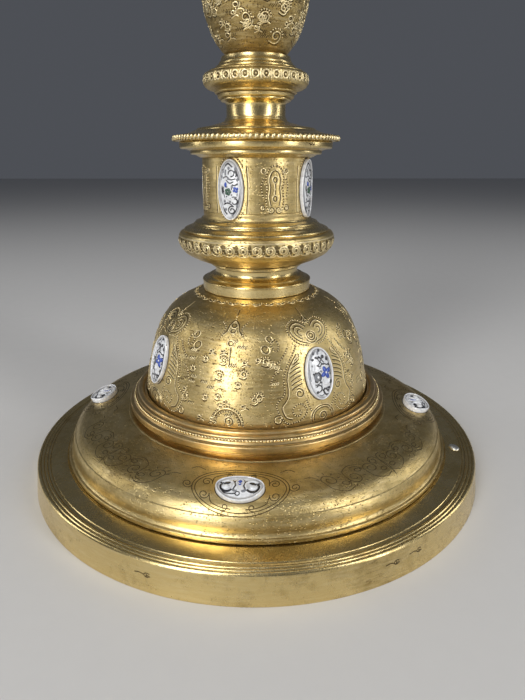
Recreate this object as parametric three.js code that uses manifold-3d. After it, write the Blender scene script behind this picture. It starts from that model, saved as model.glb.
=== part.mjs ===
// A covered gilt-brass ciborium: a round foot with a raised shoulder and a dome, a turned stem with a
// drum and an ovoid knop, a footed cup in an engraved casing, and a loose domed lid with a cross. Oval
// enamel plaques stand on the foot, dome, drum, knop, casing and lid, four to each. The stem is a stack of
// bored pieces held on one tie rod, which is drawn tight by a nut and a washer inside the dome.
// Millimetres, +Z up, the origin at the middle of the circle that the foot rests on.
import * as THREE from "three";
import { mergeVertices } from "three/addons/utils/BufferGeometryUtils.js";
import Module from "manifold-3d";

const wasm = await Module();
wasm.setup();

// ---- driving dimensions ----
const FOOT_RADIUS = 80; // top edge of the foot's upright band
const FOOT_FLARE = 1.2; // how much wider the band is where it rests
const BAND_HEIGHT = 9.5;
const FLANGE_Z = 9.7; // seat of the raised shoulder on the flat flange
const DISH_Z = 22.4; // lip that carries the dome's rim
const DOME_RADIUS = 40.3;
const DOME_TOP_Z = 64.8;
const DRUM_RADIUS = 17.8;
const KNOP_RADIUS = 16.8;
const KNOP_WAIST_Z = 162;
const CUP_RADIUS = 47;
const CUP_BOTTOM_Z = 200.6;
const CUP_LIP_Z = 252.2;
const LID_SEAT_Z = 252.4;
const LID_TOP_Z = 289.6;
const CROSS_FOOT_Z = 304.4;
const CROSS_HEIGHT = 40;
const CROSS_SPAN = 27;
const CROSS_THICKNESS = 3;
const ROD_RADIUS = 3;
const ROD_BORE = 3.6;
const STUD_RADIUS = 1.8;
const STUD_BORE = 2.2;
const SHEET = 1.3; // wall of every raised or spun shell
const CASING_TOP_Z = 229;
const COLLAR_BORE = 6.2; // round the cup's socket
const SOCKET_LOW_Z = 190.4;
const ROD_LOW_Z = 50;
const ROD_HIGH_Z = 199.8;
const SEAT_GAP = 0.3; // between a plaque and the surface that it stands on
const TURN_GAP = 0.2; // between two pieces that turn on each other

// Facets round each size of turned piece.
const WIDE = 28;
const NARROW = 16;
const CURVE_STEPS = 2;
const SHELL_STEPS = 4; // on the long curves of the domes, the scroll bowl, the cup and its casing

const gold = { color: 0xc9a14a, metalness: 1, roughness: 0.3 };
const MATERIALS = {
  gilt: new THREE.MeshStandardMaterial(gold),
  gilt_engraved: new THREE.MeshStandardMaterial({ ...gold, color: 0xb8923f, roughness: 0.36 }),
  gilt_rim: new THREE.MeshStandardMaterial({ ...gold, color: 0xb07a3c, roughness: 0.34 }),
  enamel: new THREE.MeshStandardMaterial({ color: 0xe9ebf0, metalness: 0, roughness: 0.25 }),
  iron: new THREE.MeshStandardMaterial({ color: 0x6b655c, metalness: 1, roughness: 0.55 }),
};

const ciborium = new THREE.Group();

function add(name, geometry, material) {
  const mesh = new THREE.Mesh(geometry, MATERIALS[material]);
  mesh.name = name;
  ciborium.add(mesh);
  return mesh;
}

// ---- outlines: a THREE.Path of (radius, height), turned round +Z ----
function outline(start, ...moves) {
  return smoothOutline(CURVE_STEPS, start, ...moves);
}

function smoothOutline(steps, start, ...moves) {
  const path = new THREE.Path().moveTo(...start);
  for (const move of moves) {
    if (move.length === 2) path.lineTo(...move);
    else if (move.length === 4) path.quadraticCurveTo(...move);
    else path.bezierCurveTo(...move);
  }
  return path.getPoints(steps);
}

// A closed outline becomes a ring. Its points are put in the order that turns the faces outwards.
function turn(points, facets) {
  const ring = points.map((p) => p.clone());
  if (THREE.ShapeUtils.area(ring) < 0) ring.reverse();
  ring.push(ring[0].clone());
  return new THREE.LatheGeometry(ring, facets).rotateX(Math.PI / 2);
}

// A line moved sideways by distance, to the right of its direction.
function offset(points, distance) {
  return points.map((p, i) => {
    const along = new THREE.Vector2()
      .subVectors(points[Math.min(i + 1, points.length - 1)], points[Math.max(i - 1, 0)])
      .normalize();
    return new THREE.Vector2(p.x + along.y * distance, p.y - along.x * distance);
  });
}

// A turned piece with a bore for the rod or the stud: only its outside is given, from bottom to top.
function bored(outside, facets = NARROW, bore = ROD_BORE) {
  const low = outside[0].y;
  const high = outside[outside.length - 1].y;
  return turn([new THREE.Vector2(bore, low), ...outside, new THREE.Vector2(bore, high)], facets);
}

// ---- closed meshes as solids, for the plaques' seats ----
function solid(geometry) {
  const bare = geometry.clone();
  bare.deleteAttribute("normal");
  bare.deleteAttribute("uv");
  const merged = mergeVertices(bare, 1e-3);
  return new wasm.Manifold(
    new wasm.Mesh({
      numProp: 3,
      vertProperties: merged.attributes.position.array,
      triVerts: new Uint32Array(merged.index.array),
    }),
  );
}

function geometryOf(manifold) {
  const mesh = manifold.getMesh();
  const geometry = new THREE.BufferGeometry();
  geometry.setAttribute("position", new THREE.BufferAttribute(mesh.vertProperties, 3));
  geometry.setIndex(new THREE.BufferAttribute(mesh.triVerts, 1));
  return geometry;
}

// The whole body inside a skin, from the axis out, moved out by the seat gap.
function coreUnder(skin, facets) {
  const moved = offset(skin, SEAT_GAP);
  const ends = moved[moved.length - 1].y > moved[0].y ? moved : moved.slice().reverse();
  const low = new THREE.Vector2(0, ends[0].y);
  const high = new THREE.Vector2(0, ends[ends.length - 1].y);
  return solid(new THREE.LatheGeometry([low, ...ends, high], facets).rotateX(Math.PI / 2));
}

// ---- foot ----
function makeFoot() {
  const band = FOOT_RADIUS + FOOT_FLARE;
  add(
    "foot_ring",
    turn(
      outline(
        [band - 4, 0],
        [band, 0],
        [FOOT_RADIUS + 0.1, BAND_HEIGHT - 0.9],
        [FOOT_RADIUS - 0.5, BAND_HEIGHT],
        [70.4, FLANGE_Z],
        [66, FLANGE_Z],
        [66, FLANGE_Z - 1.6],
        [75.5, FLANGE_Z - 2.2],
        [78, BAND_HEIGHT - 3.4],
      ),
      WIDE,
    ),
    "gilt",
  );
  const dishSkin = outline(
    [69.4, FLANGE_Z],
    [69.3, 11],
    [68.1, 11.4],
    [67.9, 12.7],
    [67.9, 18.4, 60, 20.5],
    [44.6, DISH_Z],
  );
  const inner = offset(dishSkin, -SHEET).slice(3);
  add(
    "foot_shoulder",
    turn(
      [
        ...dishSkin,
        new THREE.Vector2(42.4, DISH_Z),
        new THREE.Vector2(42.4, DISH_Z - SHEET),
        ...inner.slice(0, -1).reverse(),
        new THREE.Vector2(66.6, FLANGE_Z),
      ],
      WIDE,
    ),
    "gilt_engraved",
  );
  add(
    "dome_rim",
    turn(
      outline(
        [41, DISH_Z],
        [46.3, DISH_Z],
        [46.9, DISH_Z + 1.7],
        [45.6, DISH_Z + 3.6],
        [43.2, DISH_Z + 4.2, 42.8, DISH_Z + 5.9],
        [41, DISH_Z + 7],
      ),
      WIDE,
    ),
    "gilt_rim",
  );
  const domeSkin = smoothOutline(
    SHELL_STEPS,
    [DOME_RADIUS + 0.3, DISH_Z + 0.3],
    [DOME_RADIUS, 30.2],
    [37.6, 45],
    [35.6, 54, 30, 62, 18.9, DOME_TOP_Z],
  );
  const lining = offset(domeSkin, -SHEET);
  lining[lining.length - 1].set(18.9, DOME_TOP_Z - SHEET);
  add(
    "foot_dome",
    turn(
      [
        ...domeSkin,
        new THREE.Vector2(ROD_BORE, DOME_TOP_Z),
        new THREE.Vector2(ROD_BORE, DOME_TOP_Z - SHEET),
        ...lining.reverse(),
      ],
      WIDE,
    ),
    "gilt_engraved",
  );
  return { dishSkin, domeSkin };
}

// ---- stem, from the dome up; each piece stands on the one before it ----
function makeStem() {
  add(
    "dome_collar",
    bored(
      outline(
        [18.9, DOME_TOP_Z + TURN_GAP],
        [18.9, 68.3],
        [17.4, 68.8],
        [16.6, 69.4],
        [14.4, 69.8, 14.6, 71.8],
        [15, 73.4],
      ),
    ),
    "gilt",
  );
  add("neck_washer", bored(outline([15.7, 73.4], [15.7, 74.1])), "gilt");
  add(
    "scroll_bowl",
    bored(smoothOutline(3, [14.9, 74.1], [21, 75.2, 26.6, 78.2, 26.6, 82.4], [25.4, 85])),
    "gilt_engraved",
  );
  add(
    "drum_base",
    bored(outline([24.4, 85], [23.4, 86.4], [21.5, 87], [20.2, 88.4], [18.4, 89.4])),
    "gilt",
  );
  add(
    "drum",
    turn(
      outline(
        [DRUM_RADIUS - 1.5, 89.4],
        [DRUM_RADIUS + 0.3, 89.4],
        [DRUM_RADIUS, 92],
        [DRUM_RADIUS - 0.1, 108.2],
        [DRUM_RADIUS - 1.5, 108.2],
      ),
      NARROW,
    ),
    "gilt_engraved",
  );
  add(
    "cornice_base",
    bored(outline([18, 108.2], [21.3, 109.5], [21.3, 110.4], [24.9, 111.1], [24.9, 112.9])),
    "gilt",
  );
  add(
    "cornice_disc",
    bored(
      outline(
        [25.4, 112.9], [27.1, 113.3], [27.1, 114.5], [25, 115.2],
        [20.6, 116], [18.8, 117.1], [12, 118.5],
      ),
    ),
    "gilt",
  );
  add(
    "lower_neck",
    bored(outline([11.4, 118.5], [9.4, 119.2, 9.4, 122], [9.4, 124.8, 11.2, 125.6])),
    "gilt",
  );
  add(
    "knop_collar",
    bored(
      outline(
        [11.6, 125.6],
        [12.1, 126.4],
        [12.1, 127.8],
        [15.4, 128.6],
        [16.5, 129.4],
        [16.5, 132.2],
        [15, 133.4],
        [12.9, 134],
      ),
    ),
    "gilt_engraved",
  );
  add("knop_ring", bored(outline([12.7, 134], [12.6, 134.8], [11.3, 135.9], [10.7, 137.4])), "gilt");
}

// The knop is an egg: a full curve below the waist, a short shoulder above it.
const KNOP_LOW_Z = 137.4 + TURN_GAP;
const KNOP_HIGH_Z = 173.2;
function knopSkin() {
  const below = 27.4;
  const above = 12.4;
  const fullness = 2.3;
  const steps = 7;
  return Array.from({ length: steps + 1 }, (_, i) => {
    const z = KNOP_LOW_Z + ((KNOP_HIGH_Z - KNOP_LOW_Z) * i) / steps;
    const share = Math.abs(z - KNOP_WAIST_Z) / (z < KNOP_WAIST_Z ? below : above);
    return new THREE.Vector2(KNOP_RADIUS * (1 - share ** fullness) ** (1 / fullness), z);
  });
}

function makeKnop() {
  const skin = knopSkin();
  const lining = offset(skin, -SHEET);
  lining[0].y = KNOP_LOW_Z + SHEET;
  lining[lining.length - 1].y = KNOP_HIGH_Z - SHEET;
  // The egg's hollow opens downwards, beside the rod.
  const mouth = ROD_BORE + 2;
  const loop = [
    new THREE.Vector2(mouth, KNOP_LOW_Z),
    ...skin,
    new THREE.Vector2(ROD_BORE, KNOP_HIGH_Z),
    new THREE.Vector2(ROD_BORE, KNOP_HIGH_Z - SHEET),
    ...lining.reverse(),
  ];
  add("knop", turn(loop, NARROW), "gilt_engraved");
  add(
    "knop_cap",
    bored(outline([11.2, KNOP_HIGH_Z], [12.6, 174], [12.6, 175.4], [10.2, 176.4], [9.4, 177.4])),
    "gilt",
  );
  add(
    "upper_neck",
    bored(outline([9.2, 177.4 + TURN_GAP], [7.2, 178.4, 7.2, 183], [7.2, 188, 9.8, 189.4])),
    "gilt",
  );
  add(
    "upper_collar",
    bored(
      outline([10.2, 189.4], [13.2, 190.6], [13.8, 191.8], [13.2, 193], [10.6, 194.2]),
      NARROW,
      COLLAR_BORE,
    ),
    "gilt",
  );
  return skin;
}

// ---- cup ----
function makeCup() {
  const cupSkin = smoothOutline(
    SHELL_STEPS,
    [9, CUP_BOTTOM_Z],
    [30, 201, 46, 210, CUP_RADIUS - 0.3, CASING_TOP_Z],
    [CUP_RADIUS + 0.8, CUP_LIP_Z],
  );
  const casingSkin = offset(cupSkin.slice(0, -1), SHEET + SEAT_GAP);
  casingSkin[0].y = CUP_BOTTOM_Z - SHEET - SEAT_GAP;
  casingSkin[casingSkin.length - 1].y = CASING_TOP_Z;
  add(
    "cup_seat",
    bored(
      outline(
        [10.4, 194.2], [9.4, 195.4],
        [10.4, 197.6, 17.5, 198.6], [17.5, CUP_BOTTOM_Z - SHEET - SEAT_GAP],
      ),
      NARROW,
      COLLAR_BORE,
    ),
    "gilt",
  );
  const floor = casingSkin[0].y;
  const casingLining = offset(casingSkin, -SHEET);
  casingLining[0].y = floor + SHEET;
  casingLining[casingLining.length - 1].y = CASING_TOP_Z;
  add(
    "cup_casing",
    turn(
      [
        new THREE.Vector2(COLLAR_BORE, floor),
        ...casingSkin,
        ...casingLining.reverse(),
        new THREE.Vector2(COLLAR_BORE, floor + SHEET),
      ],
      WIDE,
    ),
    "gilt_engraved",
  );
  add(
    "casing_rim",
    turn(
      outline(
        [CUP_RADIUS + 0.3, CASING_TOP_Z + 0.2],
        [49.8, CASING_TOP_Z + 0.2],
        [50.8, CASING_TOP_Z + 1.4],
        [50.8, CASING_TOP_Z + 2.8],
        [49.2, CASING_TOP_Z + 4],
        [CUP_RADIUS + 0.3, CASING_TOP_Z + 4.6],
      ),
      WIDE,
    ),
    "gilt_rim",
  );
  const cupLining = offset(cupSkin, -SHEET);
  cupLining[0].set(9, CUP_BOTTOM_Z + SHEET);
  cupLining[cupLining.length - 1].y = CUP_LIP_Z;
  const bowl = [
    new THREE.Vector2(0, CUP_BOTTOM_Z),
    ...cupSkin,
    ...cupLining.reverse(),
    new THREE.Vector2(0, CUP_BOTTOM_Z + SHEET),
  ];
  add("cup", new THREE.LatheGeometry(bowl, WIDE).rotateX(Math.PI / 2), "gilt");
  add(
    "cup_socket",
    turn(
      outline(
        [ROD_RADIUS + 0.3, SOCKET_LOW_Z],
        [COLLAR_BORE - 0.4, SOCKET_LOW_Z],
        [COLLAR_BORE - 0.4, CUP_BOTTOM_Z],
        [ROD_RADIUS + 0.3, CUP_BOTTOM_Z],
      ),
      NARROW,
    ),
    "iron",
  );
  return casingSkin;
}

// ---- lid ----
function makeLid() {
  const bezel = CUP_RADIUS + 0.5 - SHEET - 0.7;
  add(
    "lid_bezel",
    turn(
      outline(
        [bezel - 1.2, 245.6], [bezel, 245.6],
        [bezel, LID_SEAT_Z + 0.8], [bezel - 1.2, LID_SEAT_Z + 0.8],
      ),
      WIDE,
    ),
    "gilt",
  );
  add(
    "lid_rim",
    turn(
      outline(
        [bezel + 0.2, LID_SEAT_Z],
        [51.8, LID_SEAT_Z],
        [53, LID_SEAT_Z + 1],
        [53, LID_SEAT_Z + 2.6],
        [51.2, LID_SEAT_Z + 3.8],
        [49.8, LID_SEAT_Z + 4.6],
        [bezel - 1.2, LID_SEAT_Z + 4.6],
        [bezel - 1.2, LID_SEAT_Z + 1.1],
        [bezel + 0.2, LID_SEAT_Z + 1.1],
      ),
      WIDE,
    ),
    "gilt_rim",
  );
  const shoulderZ = LID_SEAT_Z + 4.6;
  const shoulderTopZ = 266.4;
  const shoulderSkin = outline(
    [49.4, shoulderZ],
    [48.3, shoulderZ + 0.6],
    [48.3, 263.6, 42, 264.6],
    [32.4, shoulderTopZ],
  );
  const under = offset(shoulderSkin, -SHEET).slice(1, -1);
  add(
    "lid_shoulder",
    turn(
      [
        ...shoulderSkin,
        new THREE.Vector2(30.6, shoulderTopZ),
        new THREE.Vector2(30.6, shoulderTopZ - SHEET),
        ...under.reverse(),
        new THREE.Vector2(47, shoulderZ),
      ],
      WIDE,
    ),
    "gilt_engraved",
  );
  add(
    "lid_dome_rim",
    turn(
      outline(
        [29.6, shoulderTopZ],
        [33.4, shoulderTopZ],
        [33.9, 267.6],
        [32.4, 269.2],
        [30.4, 269.8, 30.2, 271],
        [29.6, 271.4],
      ),
      WIDE,
    ),
    "gilt_rim",
  );
  const domeSkin = smoothOutline(
    SHELL_STEPS,
    [29.3, 266.9],
    [29, 271],
    [28.4, 281, 20, 288.6, 8.6, LID_TOP_Z],
  );
  const lining = offset(domeSkin, -SHEET);
  lining[0].y = domeSkin[0].y;
  lining[lining.length - 1].set(8.6, LID_TOP_Z - SHEET);
  add(
    "lid_dome",
    turn(
      [
        ...domeSkin,
        new THREE.Vector2(STUD_BORE, LID_TOP_Z),
        new THREE.Vector2(STUD_BORE, LID_TOP_Z - SHEET),
        ...lining.reverse(),
      ],
      WIDE,
    ),
    "gilt_engraved",
  );
  return domeSkin;
}

// ---- finial and cross ----
function makeFinial() {
  add(
    "finial_base",
    bored(
      outline([7.8, LID_TOP_Z + TURN_GAP], [8.2, 290.6], [7, 291.6], [4.2, 292, 3.8, 294.4]),
      NARROW,
      STUD_BORE,
    ),
    "gilt",
  );
  const ballCentre = 299.4;
  const ballRadius = 5.8;
  const ball = new THREE.Path()
    .moveTo(3.6, 294.4)
    .absarc(0, ballCentre, ballRadius, -Math.PI * 0.28, Math.PI * 0.28, false)
    .lineTo(3.2, CROSS_FOOT_Z - 0.1)
    .getPoints(4);
  add("finial_ball", bored(ball, NARROW, STUD_BORE), "gilt");
  const studLength = 16;
  const studFacets = 12;
  add(
    "finial_stud",
    new THREE.CylinderGeometry(STUD_RADIUS, STUD_RADIUS, studLength, studFacets)
      .rotateX(Math.PI / 2)
      .translate(0, 0, LID_TOP_Z + 2),
    "iron",
  );
  const nutHeight = 3;
  add(
    "finial_nut",
    hexNut(7, nutHeight, STUD_BORE).translate(0, 0, LID_TOP_Z - SHEET - nutHeight - TURN_GAP),
    "iron",
  );
  add("cross", crossGeometry(), "gilt");
}

function hexNut(acrossFlats, height, bore) {
  const corner = acrossFlats / Math.sqrt(3);
  const sides = 6;
  const hexagon = new THREE.Shape(
    Array.from({ length: sides }, (_, i) => {
      const angle = (i * 2 * Math.PI) / sides;
      return new THREE.Vector2(corner * Math.cos(angle), corner * Math.sin(angle));
    }),
  );
  hexagon.holes.push(new THREE.Path().absarc(0, 0, bore, 0, 2 * Math.PI, true));
  return new THREE.ExtrudeGeometry(hexagon, { depth: height, bevelEnabled: false, curveSegments: 8 });
}

// A Latin cross whose three free arms widen to a round lobe, on a tang that drops into the ball.
function crossGeometry() {
  const arm = 1.7;
  const lobe = 3.1;
  const lobeX = CROSS_SPAN / 2 - lobe;
  const lobeY = CROSS_HEIGHT - lobe;
  const crossing = CROSS_HEIGHT * 0.62;
  const root = 3; // height and half width of the widened foot
  const tang = 1.4;
  const tangDepth = 4;
  const mouth = Math.asin(arm / lobe);
  const shape = new THREE.Shape();
  const roundEnd = (x, y, facing) =>
    shape.absarc(x, y, lobe, facing - Math.PI + mouth, facing + Math.PI - mouth, false);
  shape.moveTo(-tang, -tangDepth).lineTo(tang, -tangDepth).lineTo(tang, 0).lineTo(root, 0);
  shape.lineTo(arm, root).lineTo(arm, crossing - arm);
  roundEnd(lobeX, crossing, 0);
  shape.lineTo(arm, crossing + arm);
  roundEnd(0, lobeY, Math.PI / 2);
  shape.lineTo(-arm, crossing + arm);
  roundEnd(-lobeX, crossing, Math.PI);
  shape.lineTo(-arm, crossing - arm).lineTo(-arm, root).lineTo(-root, 0).lineTo(-tang, 0);
  return new THREE.ExtrudeGeometry(shape, { depth: CROSS_THICKNESS, bevelEnabled: false, curveSegments: 4 })
    .translate(0, 0, -CROSS_THICKNESS / 2)
    .rotateX(Math.PI / 2)
    .translate(0, 0, CROSS_FOOT_Z);
}

// ---- tie rod, washer and nut ----
function makeTie() {
  add(
    "tie_rod",
    new THREE.CylinderGeometry(ROD_RADIUS, ROD_RADIUS, ROD_HIGH_Z - ROD_LOW_Z, NARROW)
      .rotateX(Math.PI / 2)
      .translate(0, 0, (ROD_LOW_Z + ROD_HIGH_Z) / 2),
    "iron",
  );
  const washerTop = DOME_TOP_Z - SHEET - TURN_GAP;
  const washerBottom = washerTop - 1.4;
  const nutHeight = 5;
  add(
    "tie_washer",
    bored(outline([13, washerBottom], [14, washerTop - 0.6], [14, washerTop])),
    "iron",
  );
  add(
    "tie_nut",
    hexNut(13, nutHeight, ROD_RADIUS + 0.3).translate(0, 0, washerBottom - TURN_GAP - nutHeight),
    "iron",
  );
}

// ---- enamel plaques ----
// Each row of four stands on one skin. slope is how far the surface leans back from upright, in degrees, and
// bearing is the first plaque's place, from the front towards +X.
const QUARTERS = 4;
const PLAQUE_FACETS = 10;
const PLAQUE_ROWS = {
  foot: {
    long: 14, short: 9.2, lying: true,
    radius: 59.7, z: 20.4, slope: 86, bearing: -4.7, proud: 1.9,
  },
  dome: {
    long: 16.6, short: 10, lying: false,
    radius: 37.7, z: 44.6, slope: 17, bearing: 31, proud: 1.5,
  },
  drum: {
    long: 18.1, short: 8.4, lying: false,
    radius: DRUM_RADIUS, z: 98.8, slope: 0, bearing: -26, proud: 1.3,
  },
  knop: {
    long: 13, short: 7.4, lying: false,
    radius: KNOP_RADIUS, z: 161.6, slope: 0, bearing: -26, proud: 1.3,
  },
  casing: {
    long: 15, short: 9.2, lying: false,
    radius: 45.2, z: 217.4, slope: -24, bearing: 31, proud: 1.5,
  },
  lid: {
    long: 12, short: 7.6, lying: false,
    radius: 26, z: 279, slope: 35, bearing: 31, proud: 1.4,
  },
};

function addPlaques(row, core) {
  const spec = PLAQUE_ROWS[row];
  const depth = 3;
  const bearing = THREE.MathUtils.degToRad(spec.bearing);
  const edge = spec.proud * 0.45;
  const profile = [
    [0, -depth],
    [1, -depth],
    [1, edge],
    [0.8, spec.proud * 0.8],
    [0, spec.proud],
  ].map(([r, z]) => new THREE.Vector2(r, z));
  const [wide, tall] = spec.lying ? [spec.long, spec.short] : [spec.short, spec.long];
  const blank = new THREE.LatheGeometry(profile, PLAQUE_FACETS)
    .rotateX(Math.PI / 2)
    .scale(wide / 2, tall / 2, 1)
    .rotateX(Math.PI / 2)
    .rotateX(THREE.MathUtils.degToRad(-spec.slope))
    .translate(0, -spec.radius, spec.z)
    .rotateZ(bearing);
  const cut = geometryOf(solid(blank).subtract(core));
  for (let i = 0; i < QUARTERS; i++) {
    add(`${row}_enamel_${i + 1}`, cut.clone(), "enamel").rotation.z = (i * 2 * Math.PI) / QUARTERS;
  }
}

const { dishSkin, domeSkin } = makeFoot();
makeStem();
const knop = makeKnop();
const casing = makeCup();
const lid = makeLid();
makeFinial();
makeTie();

const drumSkin = [new THREE.Vector2(DRUM_RADIUS + 0.2, 85), new THREE.Vector2(DRUM_RADIUS + 0.2, 112)];
addPlaques("foot", coreUnder(dishSkin, WIDE));
addPlaques("dome", coreUnder(domeSkin, WIDE));
addPlaques("drum", coreUnder(drumSkin, NARROW));
addPlaques("knop", coreUnder(knop, NARROW));
addPlaques("casing", coreUnder(casing, WIDE));
addPlaques("lid", coreUnder(lid, WIDE));

export default ciborium;
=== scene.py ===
# A covered gilt-brass ciborium, finished around its fixed frame: turned and engraved gilt pieces, enamel
# plaques, iron fittings, and a plain studio stage. Outlines and patterns are in millimetres.
import math
import random

import bmesh
import bpy
import numpy as np
from bpy.props import FloatProperty, FloatVectorProperty, IntProperty, PointerProperty
from mathutils import Matrix, Vector


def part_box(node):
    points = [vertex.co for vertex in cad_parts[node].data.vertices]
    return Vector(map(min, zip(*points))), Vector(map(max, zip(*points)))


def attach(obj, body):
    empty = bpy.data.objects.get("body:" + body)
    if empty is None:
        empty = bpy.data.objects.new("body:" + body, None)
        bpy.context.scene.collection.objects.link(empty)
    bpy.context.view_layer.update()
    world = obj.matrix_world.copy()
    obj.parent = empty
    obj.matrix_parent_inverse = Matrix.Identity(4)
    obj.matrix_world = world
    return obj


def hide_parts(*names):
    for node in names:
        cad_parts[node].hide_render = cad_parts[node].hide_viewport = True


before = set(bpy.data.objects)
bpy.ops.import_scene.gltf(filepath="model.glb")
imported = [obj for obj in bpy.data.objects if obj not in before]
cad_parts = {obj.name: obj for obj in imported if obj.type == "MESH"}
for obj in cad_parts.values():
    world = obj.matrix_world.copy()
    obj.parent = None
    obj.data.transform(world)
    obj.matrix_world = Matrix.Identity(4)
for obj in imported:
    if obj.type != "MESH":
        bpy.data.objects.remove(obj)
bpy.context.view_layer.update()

bl_info = {
    "name": "Covered Ciborium", "version": (1, 0, 0), "blender": (4, 5, 0),
    "location": "View3D > Sidebar > Ciborium",
    "description": "Finishes a gilt-brass ciborium with enamel plaques around its fixed frame",
    "category": "Add Mesh",
}

MM = 0.001
MERGE = 1e-7


# ---- what a user may change ----
def colour(name, description, default):
    return FloatVectorProperty(
        name=name, description=description, default=default, size=3, min=0, max=1, subtype="COLOR",
    )


def length(name, description, default):
    return FloatProperty(name=name, description=description, default=default, min=0, unit="LENGTH")


def power(name, description, default):
    return FloatProperty(name=name, description=description, default=default, min=0, unit="POWER")


def angle(name, description, degrees):
    return FloatProperty(name=name, description=description, default=math.radians(degrees), subtype="ANGLE")


class CiboriumSizes(bpy.types.PropertyGroup):
    facets: IntProperty(
        name="Facets", description="Facets round each wide turned piece", default=192, min=24, max=512,
    )
    softness: length("Corner softness", "How far each turned corner is worn round", 0.00016)
    line_width: length("Line width", "Width of an engraved line with its burr", 0.00074)
    burr: length("Burr height", "Height of the burr beside an engraved line", 0.00010)
    dot_radius: length("Dot radius", "Radius of a punched dot", 0.00030)
    dot_pitch: length("Dot pitch", "Distance between the dots of a dotted line", 0.00082)
    bead_radius: length("Bead radius", "Radius of the beads on the rims", 0.00042)


class CiboriumColours(bpy.types.PropertyGroup):
    gold: colour("Gold", "Clean gilding", (0.75, 0.58, 0.26))
    # Pale gold is gilding worn thin in random streaks, and also the painted highlight laid on burrs, beads
    # and raised lines.
    pale_gold_and_sheen: colour("Pale gold", "Gilding rubbed thin on the high places", (0.88, 0.74, 0.44))
    old_gold: colour("Old gold", "Gilding that has browned", (0.36, 0.255, 0.09))
    # This dark colour is grime in the hollows, and also the painted shade in recesses, corners and round the
    # feet of raised work.
    tarnish_and_shade: colour("Tarnish", "Dirt and tarnish in the hollows", (0.055, 0.035, 0.016))
    stain: colour("Stain", "Dark stains on the gilding", (0.20, 0.14, 0.06))
    copper: colour("Copper", "Gilding that lets the copper through", (0.74, 0.50, 0.22))
    white: colour("White enamel", "Ground of the plaques", (0.80, 0.81, 0.83))
    black: colour("Black enamel", "Drawing on the plaques", (0.022, 0.022, 0.028))
    blue: colour("Blue enamel", "Flowers on the plaques", (0.035, 0.085, 0.42))
    green: colour("Green enamel", "Leaves on the plaques", (0.03, 0.09, 0.05))
    grey: colour("Grey enamel", "Shaded petals on the plaques", (0.20, 0.21, 0.23))
    iron: colour("Iron", "Rod, nuts and washer", (0.17, 0.155, 0.14))
    # Silver colours the bright spot on the flange that is put in for a lamp's glint, a painted highlight.
    silver: colour("Silver", "Old repair in silver solder", (0.78, 0.77, 0.72))


class CiboriumStage(bpy.types.PropertyGroup):
    floor: colour("Floor", "Plain floor", (0.62, 0.61, 0.595))
    surround: colour("Surround", "Light of the room all round", (0.075, 0.08, 0.092))
    camera_place: FloatVectorProperty(
        name="Camera place", description="Where the camera stands", size=3, subtype="TRANSLATION",
        default=(0.0, -0.1881, 0.1080),
    )
    camera_tilt: angle("Camera tilt", "How far the camera looks down", 19.65)
    camera_turn: angle("Camera turn", "How far the camera looks to the right", 0.64)
    lens: FloatProperty(
        name="Lens", description="Focal length on a sensor 36 mm high", default=27.62, min=10, unit="CAMERA",
    )
    key: power("Key light", "Power of the main soft light", 7.4)
    fill: power("Fill light", "Power of the side soft light", 4)
    top: power("Top light", "Power of the soft light above", 1.3)
    edge: power("Edge lights", "Power of each light at the sides", 1.4)


def sizes():
    return bpy.context.scene.ciborium_sizes


def colours():
    return bpy.context.scene.ciborium_colours


def stage():
    return bpy.context.scene.ciborium_stage


# ---- materials ----
class Value:
    """A number that varies over a surface. Arithmetic on it adds Math nodes."""

    def __init__(self, finish, socket):
        self.finish = finish
        self.socket = socket

    def _math(self, operation, first, second):
        node = self.finish.node("ShaderNodeMath", {"operation": operation}, {0: first, 1: second})
        return Value(self.finish, node.outputs[0])

    def __add__(self, other):
        return self._math("ADD", self, other)

    def __radd__(self, other):
        return self._math("ADD", other, self)

    def __sub__(self, other):
        return self._math("SUBTRACT", self, other)

    def __rsub__(self, other):
        return self._math("SUBTRACT", other, self)

    def __mul__(self, other):
        return self._math("MULTIPLY", self, other)

    def __rmul__(self, other):
        return self._math("MULTIPLY", other, self)


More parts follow.
